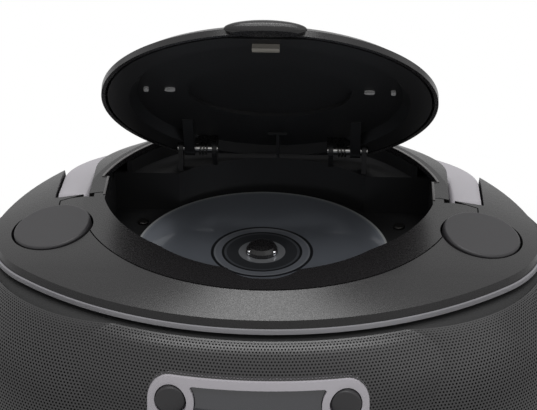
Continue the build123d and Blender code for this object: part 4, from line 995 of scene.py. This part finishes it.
    def bulged(self, points: np.ndarray, bearing: np.ndarray) -> np.ndarray:
        """Push points out to the speaker domes where those stand proud.

        Args:
            points: Points on the skin, in millimetres.
            bearing: The bearings of their normals.

        Returns:
            The moved points.
        """
        outward = np.stack([np.sin(bearing), -np.cos(bearing), np.zeros_like(bearing)], axis=1)
        moved = points.copy()
        reach = self.skin.front_radius + self.dome_proud - self.dome_radius
        for side in Side:
            turn = math.radians(self.dome_turn)
            middle = np.array(
                [
                    side.value * reach * math.sin(turn),
                    self.skin.front_y + self.skin.front_radius - reach * math.cos(turn),
                    self.dome_z,
                ]
            )
            away = moved - middle
            along = (away * outward).sum(axis=1)
            spare = along**2 - (away**2).sum(axis=1) + self.dome_radius**2
            push = -along + np.sqrt(np.maximum(spare, 0))
            facing = np.sign(moved[:, 0]) == side.value
            outside = (push > 0) & (push < 2 * self.dome_proud)
            push = np.where((spare > 0) & outside & facing, push, 0)
            moved = moved + outward * push[:, None]
        return moved


@dataclass
class WellLipHighlight:
    """The thin lip along the side and rear edges of the disc well's mouth, on both sides, whose
    pale colour is a painted highlight on the mouth's rounded edge.
    """

    centre_y: float = 5.0
    side_x: float = 76.5
    low_y: float = 9.0
    step_y: float = 27.0
    radius: float = 82.0
    rear_y: float = 73.0
    top_z: float = 128.0
    width: float = 1.1
    height: float = 0.35
    rounding_mm: float = 0.15
    steps: int = 28

    def path(self, side: Side) -> list[tuple[float, float]]:
        """Lay out the mouth's edge in plan from front to rear.

        Args:
            side: Which side of the mouth.

        Returns:
            Places in millimetres.
        """
        start = math.asin((self.step_y - self.centre_y) / self.radius)
        end = math.asin((self.rear_y - self.centre_y) / self.radius)
        places = [(self.side_x, self.low_y), (self.side_x, self.step_y)]
        for number in range(self.steps + 1):
            turn = start + (end - start) * number / self.steps
            rise = self.centre_y + self.radius * math.sin(turn)
            places.append((self.radius * math.cos(turn), rise))
        return [(side.value * x, y) for x, y in places]

    def build(self) -> None:
        """Make both lips, each one folded strip with a rounded top."""
        for side in Side:
            deselect_all()
            cells = self.steps + 2
            bpy.ops.mesh.primitive_grid_add(x_subdivisions=cells, y_subdivisions=1, size=2.0)
            lip = name_active(f"painted_lip_highlight_{side.name.lower()}")
            places = self.path(side)
            points = points_of(lip)
            columns = np.rint((points[:, 0] + 1) / 2 * (len(places) - 1)).astype(int)
            plan = np.array(places)[columns]
            outward = np.where(points[:, 1] > 0, self.width, 0.0)
            middle = np.array([0.0, self.centre_y])
            away = plan - middle
            away[:, 1] = np.where(columns < 2, 0.0, away[:, 1])
            away /= np.linalg.norm(away, axis=1)[:, None]
            plan = plan + away * outward[:, None]
            set_points(lip, np.column_stack([plan, np.full(len(plan), self.top_z)]))
            bpy.ops.object.mode_set(mode="EDIT")
            bpy.ops.mesh.select_all(action="SELECT")
            bpy.ops.mesh.normals_make_consistent(inside=False)
            up = {"value": (0, 0, self.height * MM)}
            bpy.ops.mesh.extrude_region_move(TRANSFORM_OT_translate=up)
            bpy.ops.mesh.select_all(action="SELECT")
            bpy.ops.mesh.normals_make_consistent(inside=False)
            bpy.ops.object.mode_set(mode="OBJECT")
            rounding = lip.modifiers.new("round", "BEVEL")
            rounding.width = self.rounding_mm * MM
            rounding.segments = 2
            apply_modifiers(lip)
            # Painted highlight: the lip's pale colour stands in for light on the mouth's rounded
            # edge.
            dress(lip, LIP_HIGHLIGHT_ABS.build(), 40.0)
            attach(lip, "cabinet")
            LOG.info("%s, %d faces", lip.name, len(lip.data.polygons))


def main() -> None:
    """Dress the nodes, build the new pieces and set the stage."""
    logging.basicConfig(level=logging.INFO, format="%(name)s: %(message)s")
    Studio().build()
    for name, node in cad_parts.items():
        if name == "compact_disc":
            dress(node, DiscFoil().build())
        else:
            dress(node, NODE_FINISH[name].build())
        LOG.info("dressed %s", name)
    SpeakerGrille().build()
    WellLipHighlight().build()


if __name__ == "__main__":
    main()
